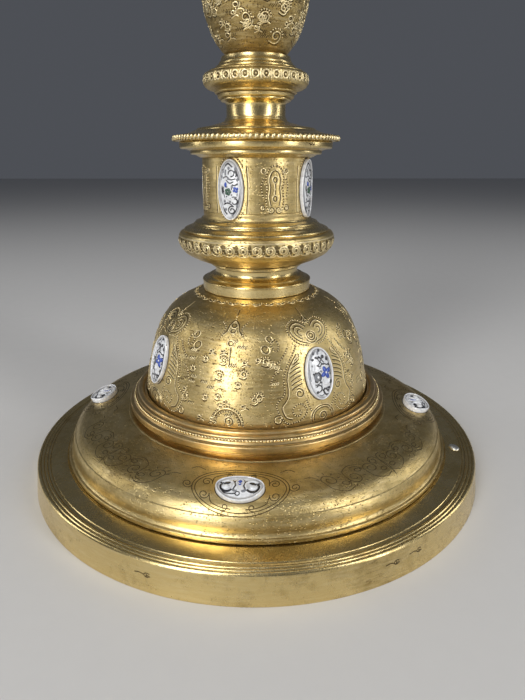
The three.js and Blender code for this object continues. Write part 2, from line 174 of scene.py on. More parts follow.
class Finish:
    """One procedural material and the nodes in it."""

    def __init__(self, name):
        self.material = bpy.data.materials.new(name + "_finish")
        self.material.use_nodes = True
        self.tree = self.material.node_tree
        self.shader = self.tree.nodes["Principled BSDF"]
        self.place = self.node("ShaderNodeTexCoord").outputs["Object"]

    def node(self, kind, settings=None, inputs=None):
        """Adds a node: its settings first, then the values or links of its sockets."""
        node = self.tree.nodes.new(kind)
        for key, value in (settings or {}).items():
            if key == "stops":
                ramp = node.color_ramp
                while len(ramp.elements) < len(value):
                    ramp.elements.new(1)
                for element, (position, level) in zip(ramp.elements, value):
                    element.position = position
                    element.color = (level, level, level, 1)
            else:
                setattr(node, key, value)
        for key, value in (inputs or {}).items():
            if isinstance(value, Value):
                value = value.socket
            if isinstance(value, bpy.types.NodeSocket):
                self.tree.links.new(value, node.inputs[key])
            else:
                node.inputs[key].default_value = value
        return node

    def value(self, node, output=0):
        return Value(self, node.outputs[output])

    def noise(self, per_mm, detail=3, roughness=0.55, stretch=(1, 1, 1), distortion=0):
        """Noise with a feature size of 1 / per_mm millimetres, squeezed by stretch."""
        scaled = self.node(
            "ShaderNodeMapping", {}, {"Vector": self.place, "Scale": [s * per_mm / MM for s in stretch]},
        )
        return self.value(
            self.node(
                "ShaderNodeTexNoise", {"noise_dimensions": "3D"},
                {
                    "Vector": scaled.outputs[0], "Scale": 1, "Detail": detail, "Roughness": roughness,
                    "Distortion": distortion,
                },
            )
        )

    def cells(self, per_mm):
        """Distance to the nearest of scattered points, about 1 / per_mm millimetres apart."""
        return self.value(
            self.node("ShaderNodeTexVoronoi", {"feature": "F1"}, {"Vector": self.place, "Scale": per_mm / MM})
        )

    def ramp(self, value, *stops):
        """A value carried through (position, level) stops."""
        return self.value(self.node("ShaderNodeValToRGB", {"stops": stops}, {0: value}))

    def mark(self, name):
        """A value kept in the piece's own mesh."""
        return self.value(self.node("ShaderNodeAttribute", {"attribute_name": name}), 2)

    def mix(self, share, first, second):
        """A colour between two."""
        pair = [tuple(c) + (1,) if not isinstance(c, bpy.types.NodeSocket) else c for c in (first, second)]
        node = self.node("ShaderNodeMix", {"data_type": "RGBA"}, {"Factor": share, 6: pair[0], 7: pair[1]})
        return node.outputs[2]

    def bump(self, height, distance_mm, below=None):
        inputs = {"Height": height, "Distance": distance_mm * MM, "Strength": 1}
        if below is not None:
            inputs["Normal"] = below
        return self.node("ShaderNodeBump", {}, inputs).outputs[0]

    def wire(self, **inputs):
        """Sets the shader's own sockets, spaces in their names written as underscores."""
        for key, value in inputs.items():
            socket = self.shader.inputs[key.replace("_", " ")]
            if isinstance(value, Value):
                value = value.socket
            if isinstance(value, bpy.types.NodeSocket):
                self.tree.links.new(value, socket)
            else:
                socket.default_value = value


def gilding(name, high, low, browning, staining, punched, polish, matting=0.0):
    """Old mercury gilding. browning is the share that has gone brown and staining how far dark stains spread.
    punched is the depth of its grain in millimetres, polish its lowest roughness, and matting how strongly
    punched pits show."""
    tone = colours()
    finish = Finish(name)
    cloud = finish.noise(0.035, detail=4)
    smear = finish.noise(0.35, detail=5, roughness=0.65)
    grain = finish.noise(2.6, detail=4, roughness=0.7)
    streak = finish.noise(0.16, detail=6, roughness=0.7, stretch=(1, 1, 9))
    brown = finish.ramp(cloud * 0.5 + smear * 0.35 + grain * 0.15, (0.5 - browning, 0), (0.72 - browning, 1))
    pits = finish.ramp(finish.cells(0.55), (0.05, 1), (0.14, 0)) * finish.ramp(smear, (0.5, 0), (0.66, 1))
    scratch = finish.noise(0.5, detail=3, roughness=0.8, stretch=(0.35, 0.35, 2.6), distortion=0.6)
    worn = finish.ramp(scratch * 0.55 + cloud * 0.45, (0.60 - staining, 0), (0.66 - staining * 0.5, 1))
    worn = worn * finish.ramp(grain, (0.38, 0), (0.60, 1))
    punches = finish.ramp(finish.cells(1.25), (0.12, 1), (0.30, 0)) * finish.ramp(
        smear * 0.7 + cloud * 0.3, (0.36, 0.15), (0.56, 1),
    )
    # The mesh's mark paints light and shade: above zero it darkens the gilding as painted shade with grime,
    # below zero it paints a highlight, with rubbed gilding, on burrs and beads.
    mark = finish.mark("groove")
    grime_and_shade = finish.ramp(mark, (0, 0), (1, 1))
    crest_rub_and_sheen = finish.ramp(mark * -1, (0, 0), (1, 1))
    gold = finish.mix(brown, high, low)
    rubbed = finish.mix(finish.ramp(streak, (0.45, 0), (0.75, 0.5)), gold, tone.pale_gold_and_sheen)
    stained = finish.mix(pits * 0.75 + worn * 0.7 + punches * matting, rubbed, tone.stain)
    stained = finish.mix(crest_rub_and_sheen * 0.85, stained, tone.pale_gold_and_sheen)
    finish.wire(
        Base_Color=finish.mix(grime_and_shade * 0.9, stained, tone.tarnish_and_shade), Metallic=1.0,
        Roughness=polish + brown * 0.1 + grain * 0.12 + (pits + worn) * 0.2 + grime_and_shade * 0.2,
    )
    tooling = finish.bump(streak, 0.012)
    finish.wire(
        Normal=finish.bump(
            grain * punched + smear * (punched * 1.4) - pits * 0.04 - punches * (matting * 0.16), 1, tooling,
        )
    )
    return finish.material


def enamel(name, shade, speckle):
    """Glassy enamel with a slightly uneven surface."""
    finish = Finish(name)
    uneven = finish.noise(0.9, detail=3)
    specks = finish.ramp(finish.cells(1.6), (0.06, speckle), (0.2, 0))
    dull = tuple(c * 0.72 for c in shade)
    base = finish.mix(finish.ramp(uneven, (0.35, 0), (0.75, 1)), shade, dull)
    # Enamel darkens where the mesh is marked: painted shade at the plaque's foot and in the dip inside its
    # rim, with grime.
    base = finish.mix(finish.ramp(finish.mark("groove"), (0.2, 0), (1, 0.75)), base, colours().tarnish_and_shade)
    finish.wire(
        Base_Color=finish.mix(specks, base, tuple(c * 0.3 for c in shade)), Roughness=0.16 + uneven * 0.16,
        Coat_Weight=0.6, Coat_Roughness=0.08, Normal=finish.bump(uneven, 0.09),
    )
    return finish.material


def plain_metal(name, shade, rust, polish):
    """Forged or cast metal, with rust or dirt in its pits."""
    finish = Finish(name)
    grain = finish.noise(1.4, detail=5, roughness=0.65)
    patches = finish.ramp(finish.noise(0.12, detail=4), (0.45, 0), (0.7, 1))
    finish.wire(
        Base_Color=finish.mix(patches * 0.6, shade, rust), Metallic=1.0,
        Roughness=polish + grain * 0.25 + patches * 0.15, Normal=finish.bump(grain, 0.06),
    )
    return finish.material


def floor_finish(name):
    finish = Finish(name)
    speck = finish.noise(0.15, detail=4)
    pale = tuple(stage().floor)
    finish.wire(
        Base_Color=finish.mix(speck * 0.35, pale, tuple(c * 0.9 for c in pale)), Roughness=0.55 + speck * 0.1,
        Normal=finish.bump(speck, 0.05),
    )
    return finish.material


def finish(name):
    """The material of a slot, made when it is first asked for."""
    made = bpy.data.materials.get(name + "_finish")
    if made:
        return made
    tone = colours()
    makers = {
        "gilt": lambda: gilding("gilt", tone.gold, tone.old_gold, 0.02, 0.0, 0.010, 0.19),
        "gilt_engraved": lambda: gilding(
            "gilt_engraved", tone.gold, tone.old_gold, 0.09, 0.05, 0.030, 0.25, 0.7,
        ),
        "gilt_matted": lambda: gilding("gilt_matted", tone.gold, tone.old_gold, 0.20, 0.10, 0.075, 0.30, 1.2),
        "gilt_rim": lambda: gilding("gilt_rim", tone.copper, tone.old_gold, 0.08, 0.02, 0.020, 0.24),
        "enamel": lambda: enamel("enamel", tuple(tone.white), 0.12),
        "enamel_black": lambda: enamel("enamel_black", tuple(tone.black), 0.0),
        "enamel_blue": lambda: enamel("enamel_blue", tuple(tone.blue), 0.1),
        "enamel_green": lambda: enamel("enamel_green", tuple(tone.green), 0.1),
        "enamel_grey": lambda: enamel("enamel_grey", tuple(tone.grey), 0.1),
        "iron": lambda: plain_metal("iron", tone.iron, (0.09, 0.045, 0.02), 0.38),
        "silver": lambda: plain_metal("silver", tone.silver, (0.4, 0.36, 0.3), 0.2),
        "floor": lambda: floor_finish("floor"),
    }
    return makers[name]()


# ---- outlines: lists of (radius, height) ----
ARC_STEP = math.radians(8)
CORNER = math.radians(22)


def arc(start, end, bulge):
    """Points after start on an arc to end. bulge is its rise over half its chord, to the right of the way."""
    sweep = 4 * math.atan(bulge)
    start, end = Vector(start), Vector(end)
    half = (end - start) / 2
    centre = start + half + Vector((-half.y, half.x)) / math.tan(sweep / 2)
    steps = max(2, math.ceil(abs(sweep) / ARC_STEP))
    spoke = start - centre
    turn = [Matrix.Rotation(sweep * (k + 1) / steps, 2) for k in range(steps)]
    return [centre + m @ spoke for m in turn]


def outline(*corners):
    """Joins (radius, height) corners. A third number is the bulge of the arc that leads to that corner."""
    points = [Vector(corners[0][:2])]
    for corner in corners[1:]:
        target = Vector(corner[:2])
        points += arc(points[-1], target, corner[2]) if len(corner) > 2 else [target]
    return points


def softened(points, closed):
    """Wears the sharp corners of an outline round. Gives (point, shade), where the shade is painted shade
    with grime darkening the hollow corners.
    """
    soft = sizes().softness / MM
    worn = []
    last = len(points) - 1
    for i, corner in enumerate(points):
        before = points[i - 1] - corner
        after = points[(i + 1) % len(points)] - corner
        turn = math.pi - before.angle(after) if before.length and after.length else 0
        if turn < CORNER or (not closed and i in (0, last)):
            worn.append((corner, 0))
            continue
        reach = min(soft, before.length * 0.2, after.length * 0.2)
        # hollow sets how much painted shade, with grime, darkens an inward corner.
        hollow = min(1, turn) if before.cross(after) > 0 else 0
        leave = corner + before.normalized() * reach
        arrive = corner + after.normalized() * reach
        worn += [
            (corner + before.normalized() * reach * 2, 0), (leave, hollow * 0.7),
            ((leave + arrive) / 4 + corner / 2, hollow), (arrive, hollow * 0.7),
            (corner + after.normalized() * reach * 2, 0),
        ]
    return worn


def room(node):
    """The outer radius of a node of the frame, and its lowest and highest point, in millimetres."""
    low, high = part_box(node)
    return high.x / MM, low.z / MM, high.z / MM


# ---- pieces ----
NARROW = 30


def turned(points, closed=True):
    """An outline turned round the axis as on a lathe. It runs up the outside and down the inside."""
    bm = bmesh.new()
    grime_and_shade = bm.verts.layers.float.new("groove")
    ring = []
    for point, level in softened(points, closed):
        ring.append(bm.verts.new((point.x * MM, 0, point.y * MM)))
        ring[-1][grime_and_shade] = level
    pairs = list(zip(ring, ring[1:]))
    if closed:
        pairs.append((ring[-1], ring[0]))
    edges = [bm.edges.new(pair) for pair in pairs]
    wide = max(p.x for p in points) > NARROW
    bmesh.ops.spin(
        bm, geom=ring + edges, cent=(0, 0, 0), axis=(0, 0, 1), angle=math.tau,
        steps=sizes().facets if wide else sizes().facets * 2 // 3, use_merge=True, use_duplicate=False,
    )
    bmesh.ops.remove_doubles(bm, verts=bm.verts, dist=MERGE)
    bmesh.ops.recalc_face_normals(bm, faces=bm.faces)
    return bm


def bore_through(points, bore=3.6):
    """An outside, lowest first, closed by a straight bore."""
    return [Vector((bore, points[0].y))] + points + [Vector((bore, points[-1].y))]


def bored(*corners, bore=3.6):
    """A turned piece with a straight bore, from the corners of its outside, lowest first."""
    return turned(bore_through(outline(*corners), bore))


def piece(bm, name, body, *finishes, replaces=(), slot=None):
    """Makes a piece from its mesh, riding on a body, and puts it in place of nodes of the frame."""
    mesh = bpy.data.meshes.new(name)
    for face in bm.faces:
        face.smooth = True
    bm.to_mesh(mesh)
    bm.free()
    made = bpy.data.objects.new(name, mesh)
    bpy.context.scene.collection.objects.link(made)
    for key in finishes:
        mesh.materials.append(finish(key))
    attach(made, body)
    if replaces:
        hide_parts(*replaces)
    return made


def finished(bm, node, body, slot):
    """A piece that stands for the node it is named after."""
    return piece(bm, node + "_finished", body, slot, replaces=[node])


# ---- ornament: drawn flat in millimetres, x to the right and y up, then laid on a skin ----
class Skin:
    """The outside of a turned piece. Its points are (radius, height), from low to high."""

    def __init__(self, points):
        self.line = np.array([tuple(p) for p in points])
        self.run = np.concatenate(([0], np.cumsum(np.linalg.norm(np.diff(self.line, axis=0), axis=1))))
        self.slope = np.gradient(self.line, self.run, axis=0)
        self.slope /= np.linalg.norm(self.slope, axis=1)[:, None]

    def up_to_height(self, height):
        return float(np.interp(height, self.line[:, 1], self.run))

    def up_to_radius(self, radius):
        """How far up a skin that closes inwards this radius lies."""
        return float(np.interp(-radius, -self.line[:, 0], self.run))

    def lay(self, flat, bearing, up):
        """Bends flat (x, y, out) points round the skin, from a bearing right of the front."""
        run = up + flat[:, 1]
        radius, height, lean_out, rise = (
            np.interp(run, self.run, part) for part in (*self.line.T, *self.slope.T)
        )
        turn = bearing + flat[:, 0] / radius
        radius = radius + flat[:, 2] * rise
        height = height - flat[:, 2] * lean_out
        return np.stack((radius * np.sin(turn), -radius * np.cos(turn), height), axis=1) * MM


def laid(flat, skin, spots, into=None):
    """Copies of a flat pattern on a skin, one at each (bearing, distance up)."""
    pattern = bpy.data.meshes.new("pattern")
    flat.to_mesh(pattern)
    flat.free()
    places = np.empty(len(pattern.vertices) * 3)
    pattern.vertices.foreach_get("co", places)
    places = places.reshape(-1, 3)
    bm = into or bmesh.new()
    for bearing, up in spots:
        copy = pattern.copy()
        copy.vertices.foreach_set("co", skin.lay(places, bearing, up).ravel())
        bm.from_mesh(copy)
        bpy.data.meshes.remove(copy)
    bpy.data.meshes.remove(pattern)
    return bm


def around(count, up, start=0.0):
    """Evenly spaced spots, the first at a bearing in radians."""
    return [(start + math.tau * i / count, up) for i in range(count)]


def flowing(points, step=0.4):
    """A smooth line through points, as (x, y) samples about one step apart."""
    points = np.array(points, float)
    ends = np.vstack((2 * points[0] - points[1], points, 2 * points[-1] - points[-2]))
    samples = []
    for a, b, c, d in zip(ends, ends[1:], ends[2:], ends[3:]):
        count = max(1, round(np.linalg.norm(c - b) / step))
        for t in np.arange(count) / count:
            samples.append(
                b + t * (c - a) / 2 + t * t * (a - 2.5 * b + 2 * c - d / 2) + t**3 * (
                    1.5 * (b - c) + (d - a) / 2
                )
            )
    return np.array(samples + [points[-1]])


def bow(x, y, wide, tall, start, sweep):
    """Part of an oval about (x, y), from an angle in degrees."""
    count = max(4, round(abs(math.radians(sweep)) * max(wide, tall) / 0.4))
    turn = np.radians(start + sweep * np.arange(count + 1) / count)
    return np.stack((x + wide * np.cos(turn), y + tall * np.sin(turn)), axis=1)


def oval(x, y, wide, tall=None):
    return bow(x, y, wide, tall or wide, 0, 360)


def curl(x, y, outer, inner, start, turns):
    """A spiral about (x, y) from its outer end inwards; a negative number of turns goes clockwise."""
    count = max(6, round(abs(turns) * math.tau * (outer + inner) / 2 / 0.35))
    share = np.arange(count + 1) / count
    turn = math.radians(start) + turns * math.tau * share
    radius = outer + (inner - outer) * share
    return np.stack((x + radius * np.cos(turn), y + radius * np.sin(turn)), axis=1)


def sampled(path):
    """A path as an array of samples. A list of points is drawn as the smooth line through them."""
    return flowing(path) if isinstance(path, list) else path


class Drawing:
    """Lines and dots drawn flat. A line is an array of (x, y) samples, and a dot is (x, y, radius).
    A bed is a dark line that dots stand in, painted shade with grime round their feet."""

    def __init__(self):
        self.lines = []
        self.beds = []
        self.dots = []

    def line(self, *paths):
        self.lines += map(sampled, paths)

    def dotted(self, *paths):
        """Dots evenly spaced along paths."""
        pitch = sizes().dot_pitch / MM
        paths = [sampled(path) for path in paths]
        self.beds += paths
        for path in paths:
            run = np.concatenate(([0], np.cumsum(np.linalg.norm(np.diff(path, axis=0), axis=1))))
            count = max(1, round(run[-1] / pitch))
            for at in run[-1] * np.arange(count + 1) / count:
                self.dot(np.interp(at, run, path[:, 0]), np.interp(at, run, path[:, 1]))

    def dot(self, x, y, radius=None):
        self.dots.append((x, y, radius or sizes().dot_radius / MM))

    def mirrored(self):
        """The drawing together with its mirror image about x = 0."""
        self.lines += [path[::-1] * (-1, 1) for path in self.lines]
        self.beds += [path[::-1] * (-1, 1) for path in self.beds]
        self.dots += [(-x, y, radius) for x, y, radius in self.dots]
        return self

    def add(self, other, x=0.0, y=0.0, size=1.0, turn=0.0):
        """Another drawing, turned by degrees, sized and moved."""
        c, s = math.cos(math.radians(turn)) * size, math.sin(math.radians(turn)) * size
        spin = np.array(((c, s), (-s, c)))
        self.lines += [path @ spin + (x, y) for path in other.lines]
        self.beds += [path @ spin + (x, y) for path in other.beds]
        self.dots += [(*(np.array((dx, dy)) @ spin + (x, y)), radius) for dx, dy, radius in other.dots]
        return self


def section():
    """Across an engraved line: (side, out, shade) over its furrow, darkened with painted shade and grime, and
    the burr on one side of it, painted pale as rubbed gilding and highlight.
    """
    half = sizes().line_width / MM / 2
    burr = sizes().burr / MM
    return (
        (-half, -0.03, 1), (-half * 0.8, 0.012, 1), (-half * 0.05, 0.012, 1), (half * 0.2, burr, -1),
        (half * 0.75, burr, -1), (half, -0.03, 0),
    )


def ground(half):
    """A level line as long as one step of a band."""
    d = Drawing()
    d.line(np.array([(-half, 0), (0, 0), (half, 0)]))
    return d


def raised(width=0.62, rise=0.12):
    """Across a line that stands up, painted pale as rubbed gilding and highlight, with painted shade and
    grime at its feet.
    """
    side = width / 2
    return (
        (-side, -0.04, 0.9), (-side * 0.6, rise * 0.8, -1), (0, rise, -1), (side * 0.6, rise * 0.8, -1),
        (side, -0.04, 0.9),
    )


def grime_and_shade_band(width, grime_and_shade=0.9):
    """Across a wide flat band, darkened with painted shade and grime as a sunk ground, that ornament stands
    on.
    """
    side = [width * (k / 12 - 0.5) for k in range(13)]
    return tuple((x, -0.04 if abs(x) == width / 2 else 0.014, grime_and_shade) for x in side)


def furrow(width, grime_and_shade=1.0):
    """Across a line that is cut without a burr, dark all over with painted shade and grime."""
    side = width / 2
    return ((-side, -0.04, grime_and_shade), (-side / 2, 0.014, grime_and_shade), (side / 2, 0.014, grime_and_shade), (side, -0.04, grime_and_shade))


def ribbon(bm, path, across, material=0):
    """A strip of a given section along a flat path."""
    grime_and_shade = bm.verts.layers.float.get("groove") or bm.verts.layers.float.new("groove")
    along, side = len(path) - 1, len(across) - 1
    heading = np.gradient(path, axis=0)
    heading /= np.maximum(np.linalg.norm(heading, axis=1), 1e-9)[:, None]
    grid = bmesh.ops.create_grid(bm, x_segments=along, y_segments=side, size=0.5)["verts"]
    for vert in grid:
        i = round((vert.co.x + 0.5) * along)
        offset, out, level = across[side - round((vert.co.y + 0.5) * side)]
        vert.co = (path[i][0] + heading[i][1] * offset, path[i][1] - heading[i][0] * offset, out)
        # The section's third value: painted shade with grime above zero, painted highlight with rubbed
        # gilding below zero.
        vert[grime_and_shade] = level
    if material:
        for face in {face for vert in grid for face in vert.link_faces}:
            face.material_index = material
    return grid


def boss(bm, x, y, radius, tall=0.7, material=0, grain=1, stretch=(1, 1), turn=0.0, base=0.0):
    """A small round or oval boss, half sunk."""
    grime_and_shade = bm.verts.layers.float.get("groove") or bm.verts.layers.float.new("groove")
    place = (
        Matrix.Translation((x, y, base)) @ Matrix.Rotation(turn, 4, "Z") @ Matrix.Diagonal(
            (stretch[0], stretch[1], tall, 1)
        )
    )
    made = bmesh.ops.create_icosphere(bm, subdivisions=grain, radius=radius, matrix=place)["verts"]
    for vert in made:
        # Painted shade with grime round the boss's foot, and a painted highlight with rubbed gilding over the
        # rest.
        vert[grime_and_shade] = 0.9 if vert.co.z - base < radius * tall * 0.1 else -1
    if material:
        for face in {face for vert in made for face in vert.link_faces}:
            face.material_index = material
    return made


def engraved(drawing, across=None):
    """A drawing as flat relief."""
    bm = bmesh.new()
    for path in drawing.lines:
        ribbon(bm, path, across or section())
    for path in drawing.beds:
        ribbon(bm, path, furrow(sizes().line_width / MM * 1.15, 0.95))
    for x, y, radius in drawing.dots:
        boss(bm, x, y, radius)
    return bm


def engraving(name, body, key, skin, *groups):
    """One piece that holds all the relief on a skin. A group is a drawing, its spots and maybe a section."""
    bm = bmesh.new()
    bm.verts.layers.float.new("groove")
    for drawing, spots, *across in groups:
        laid(engraved(drawing, *across), skin, spots, into=bm)
    return piece(bm, name, body, key)


def beads(name, body, radius, height, count, stretch=(1, 1), turn=0.0, lean=0.0, size=None):
    """A row of beads round the axis, on a place that leans in by a slope."""
    size = size or sizes().bead_radius / MM
    bm = bmesh.new()
    boss(bm, 0, 0, size, 0.8, 0, 2, stretch, math.radians(turn))
    line = Skin([(radius + lean, height - 1), (radius, height), (radius - lean, height + 1)])
    return piece(laid(bm, line, around(count, line.run[1])), name, body, "gilt")


# ---- patterns ----
def heart_and_scrolls():
    """The dome's main pattern, round a plaque: a heart above it, and a dotted scroll on each side."""
    d = Drawing()
    d.dotted(
        [
            (0.6, 16.4), (2.2, 18.0), (4.4, 18.4), (6.6, 16.8), (7.5, 14.4), (6.6, 11.8), (4.4, 10.0),
            (1.6, 9.2),
        ]
    )
    d.line(
        [
            (0.9, 15.4), (2.8, 17.0), (4.6, 17.0), (6.2, 15.6), (6.4, 13.6), (5.4, 11.9), (3.4, 10.7),
            (1.0, 10.0),
        ],
        [(2.0, 14.6), (3.2, 15.8), (4.6, 15.6), (5.2, 14.2), (4.6, 12.6), (3.0, 11.6)],
        [(3.1, 14.5), (4.0, 14.4), (4.0, 13.3), (3.0, 12.9)],
    )
    d.dotted(
        [
            (6.2, 10), (7.7, 7.7), (10.5, 3.7), (12, 0), (12.3, -3.8), (13.1, -5.5), (15.2, -7.6),
            (15.2, -9.5), (14, -12.4), (12.3, -14.2), (9.9, -14.2), (7.4, -13.4), (5.6, -11.2), (6.4, -9),
            (8.4, -8.4), (10.1, -9.6), (10.1, -11.4), (8.6, -12.2), (7.5, -11), (8.3, -10.2),
        ]
    )
    d.line(
        [
            (6.8, 7.2), (9.7, 3.4), (10.9, 0), (11.1, -4), (11.7, -6.4), (13.4, -8.6), (13.5, -10),
            (12.5, -12.2), (10.6, -13),
        ],
        curl(7.6, -5, 1.7, 0.6, 60, 1.3), curl(15.1, -12.9, 1.6, 0.6, 150, -1.2),
        curl(13.8, 12.6, 1.3, 0.5, 220, 1.1), oval(16, 9.2, 1.2), bow(8.4, -16.6, 1.3, 0.8, 180, -180),
        bow(11.6, -16.9, 1.3, 0.8, 180, -180),
    )
    for y in (6.3, 5, 3.7, 2.4, 1.1, -0.2, -1.5, -2.8):
        wide = 10.1 if y < 3 else 10.1 - (y - 3) * 0.7
        d.line([(wide, y - 0.8), (wide - 1.5, y + 0.1), (6.3, y + 0.9)])
    d.dotted(bow(12.8, 10.5, 1.1, 1.8, 90, 300), [(9.2, 9.5), (10.6, 7.5), (12.6, 5.5), (14.0, 4.6)])
    d.dotted([(5.6, -7.2), (4.4, -10.4), (3.0, -12.0)], [(13.6, 2.2), (15.2, 1.0), (16.4, -1.6)])
    d.mirrored()
    d.line(
        oval(0, 12.3, 0.9), oval(0, 12.3, 1.6), bow(0, 12.3, 2.4, 2.4, 205, 130),
        [(0, 17.0), (0, 20.5), (0, 23.6)], [(-0.9, 17.9), (0, 19.0), (0.9, 17.9)],
        [(-0.9, 17.9), (0, 16.9), (0.9, 17.9)], bow(0.2, -13.8, 4.4, 3.7, -20, 220),
        bow(0.2, -13.8, 3.6, 3.0, -15, 210), curl(0.2, -13.6, 1.7, 0.4, -90, 1.5),
    )
    d.dot(0, 12.3, 0.3)
    d.dot(0, 19.8, 0.3)
    return d


def hanging_trefoil():
    """What hangs between two plaques on the dome, and the half rosette at its foot."""
    d = Drawing()
    d.dotted(bow(0.4, -14.6, 5.2, 6, 0, 180), bow(0.4, -14.6, 3.9, 4.5, 0, 180))
    d.line(
        bow(0.4, -14.6, 4.6, 5.2, 0, 180), curl(0.9, -13.2, 1.7, 0.4, -90, 1.6), oval(0.4, 17, 0.9),
        oval(0.3, 15, 0.8), oval(0.2, 11, 0.9), [(0.4, 23.5), (0.4, 21.2)],
        [(-2.6, 13.6), (-1.5, 15.0), (-0.9, 17.2), (0.4, 18.8), (1.7, 17.2), (2.3, 15.0), (3.2, 13.6)],
        [(0.3, 10), (0.3, 7), (0.3, 4.4)],
    )
    for y in (20.5, 19.4, 13.4, 3.6):
        d.dot(0.4, y, 0.35)
    d.dotted([(-3.4, 18.0), (-2.2, 16.0), (-3.2, 13.0)], [(4.2, 18.0), (3.0, 16.0), (3.8, 13.0)])
    return d


def leaf(size):
    """A small curled leaf with a dotted back."""
    d = Drawing()
    d.line(
        curl(0, 0, size, size * 0.3, -60, 1.1), [(size * 0.9, -size), (0, -size * 1.5), (-size * 1.4, -size)],
    )
    d.dotted(bow(0, 0, size * 1.5, size * 1.4, 0, 150))
    return d


def sprig(size):
    """A short stem with three strokes."""
    d = Drawing()
    d.line(
        [(-size, -size * 0.5), (0, 0), (size * 0.4, size)],
        [(0, 0), (size * 0.8, 0), (size * 1.3, -size * 0.3)],
        oval(-size * 0.4, size * 0.6, size * 0.4, size * 0.3),
    )
    d.dot(size * 0.6, size * 1.4)
    return d


def stroke_cluster(size):
    """Short punched strokes close together."""
    d = Drawing()
    for i in range(4):
        x = (i - 1.5) * size * 0.45
        d.line(flowing([(x - size * 0.15, -size * 0.3), (x, 0), (x + size * 0.25, size * 0.35)], 0.3))
    return d


def collar_garland():
    """One swag of the band under the dome's collar."""
    d = Drawing()
    d.line(bow(0, 0.6, 1.5, 1.1, 180, 180))
    d.dotted(bow(0, 0.4, 0.8, 0.5, 180, 180))
    d.dot(1.7, 0.8, 0.3)
    return d


def running_scroll(reach):
    """Leafy scrolls that run both ways from the middle."""
    d = Drawing()
    d.line([(0, -5.4), (0.3, -1.5), (0, 2.4)], curl(2.2, 2.6, 2.0, 0.5, 180, -1.3))
    x, way = 4.5, 1
    while x < reach:
        d.line(
            [(x - 4, -3.6 * way), (x - 1, -4.4 * way), (x + 2.6, -2.6 * way), (x + 3.2, 0.8 * way)],
            curl(x + 0.9, 0.6 * way, 2.4, 0.6, 0, 1.4 * way),
            [(x + 3.2, 1.4 * way), (x + 4.6, 3.2 * way), (x + 6.6, 3.4 * way)],
            oval(x - 2.4, -1.7 * way, 1.1, 0.7),
        )
        for i in range(5):
            turn = math.radians(20 + 38 * i) * way
            out = Vector((math.cos(turn), math.sin(turn)))
            d.line(np.array([(x + 0.9 + out.x * k, 0.6 * way + out.y * k) for k in (2.8, 3.2, 3.7)]))
        x += 7.4
        way = -way
    return d.mirrored()


def cartouche(wide, tall):
    """A double oval round a lying plaque, with a spiral at each end."""
    d = Drawing()
    d.line(
        bow(0, 0, wide, tall, 90, -90), bow(0, 0, wide - 0.9, tall - 0.9, 90, -90),
        bow(0, 0, wide, tall, 0, -90),
    )
    d.line(bow(0, 0, wide - 0.9, tall - 0.9, 0, -90), curl(wide + 1.6, 0.3, 1.7, 0.4, 180, 1.5))
    d.line([(wide - 3, tall - 1.2), (wide - 0.5, tall - 0.4), (wide + 1.5, tall - 1.6)])
    d.line(
        curl(wide - 4.2, 2.2, 1.7, 0.4, 200, -1.4), curl(wide - 4.0, -2.6, 1.6, 0.4, 160, 1.4),
        [(wide - 5.8, 2.0), (wide - 6.3, 4.4), (wide - 9.4, 6.0), (2, 6.2)],
        [(wide - 5.6, -2.6), (wide - 6.4, -4.8), (wide - 9.4, -6.0), (2, -6.3)],
        curl(3.6, 5.6, 1.0, 0.3, 60, 1.2), curl(3.8, -5.8, 1.0, 0.3, -60, -1.2),
    )
    return d.mirrored()


def drum_scroll():
    """A tall dotted arch with curled feet."""
    d = Drawing()
    d.dotted([(2.2, -6.4), (2.9, -3.5), (2.6, 0.5), (2.9, 3.4), (1.9, 6.2), (0.2, 7.2)])
    d.line(
        [(1.4, -4.8), (1.9, -2.2), (1.6, 0.6), (1.9, 3.0), (1.2, 5.0), (0.1, 5.8)],
        curl(1.2, -6.0, 1.1, 0.4, 40, -1.3), curl(3.6, 5.6, 0.9, 0.3, 180, 1.2),
        curl(3.9, -5.4, 0.9, 0.3, 120, -1.2),
    )
    d.dotted([(3.6, 3.4), (4.4, 1.0), (3.8, -2.2)])
    d.mirrored()
    d.line(oval(0, 3.0, 0.7, 0.9), oval(0, -2.6, 0.7, 0.9), [(0, 1.8), (0, 0.2), (0, -1.4)])
    for y in (0.2, 4.8, -4.4):
        d.dot(0, y, 0.3)
    return d


def plaque_shadow_ring(wide, tall):
    """A dark ring of painted shadow round a plaque, where it stands off the gilding."""
    d = Drawing()
    d.line(oval(0, 0, wide + 0.12, tall + 0.12))
    return d


def scattered(rng, count, low, high, spans):
    """Random spots between two distances up, within spans of bearing given in degrees."""
    spots = []
    for _ in range(count):
        first, last = rng.choice(spans)
        spots.append((math.radians(rng.uniform(first, last)), rng.uniform(low, high)))
    return spots


def plaque_spots(row, skin):
    """Where the frame has the four plaques of a row, as (bearing, distance up the skin)."""
    spots = []
    for i in range(1, 5):
        low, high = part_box(f"{row}_enamel_{i}")
        middle = (low + high) / 2 / MM
        fine = np.linspace(0, skin.run[-1], 2001)
        gap = np.hypot(
            np.interp(fine, skin.run, skin.line[:, 0]) - math.hypot(middle.x, middle.y),
            np.interp(fine, skin.run, skin.line[:, 1]) - middle.z,
        )
        spots.append((math.atan2(middle.x, -middle.y), float(fine[gap.argmin()])))
    return spots


def halfway(spots):
    """The spots halfway round between four."""
    return [(bearing + math.radians(45), up) for bearing, up in spots]


# ---- enamel plaques ----
WHITE, BLACK, BLUE, GREEN, GREY = range(5)
ENAMELS = ("enamel", "enamel_black", "enamel_blue", "enamel_green", "enamel_grey")
RIM = 0.87


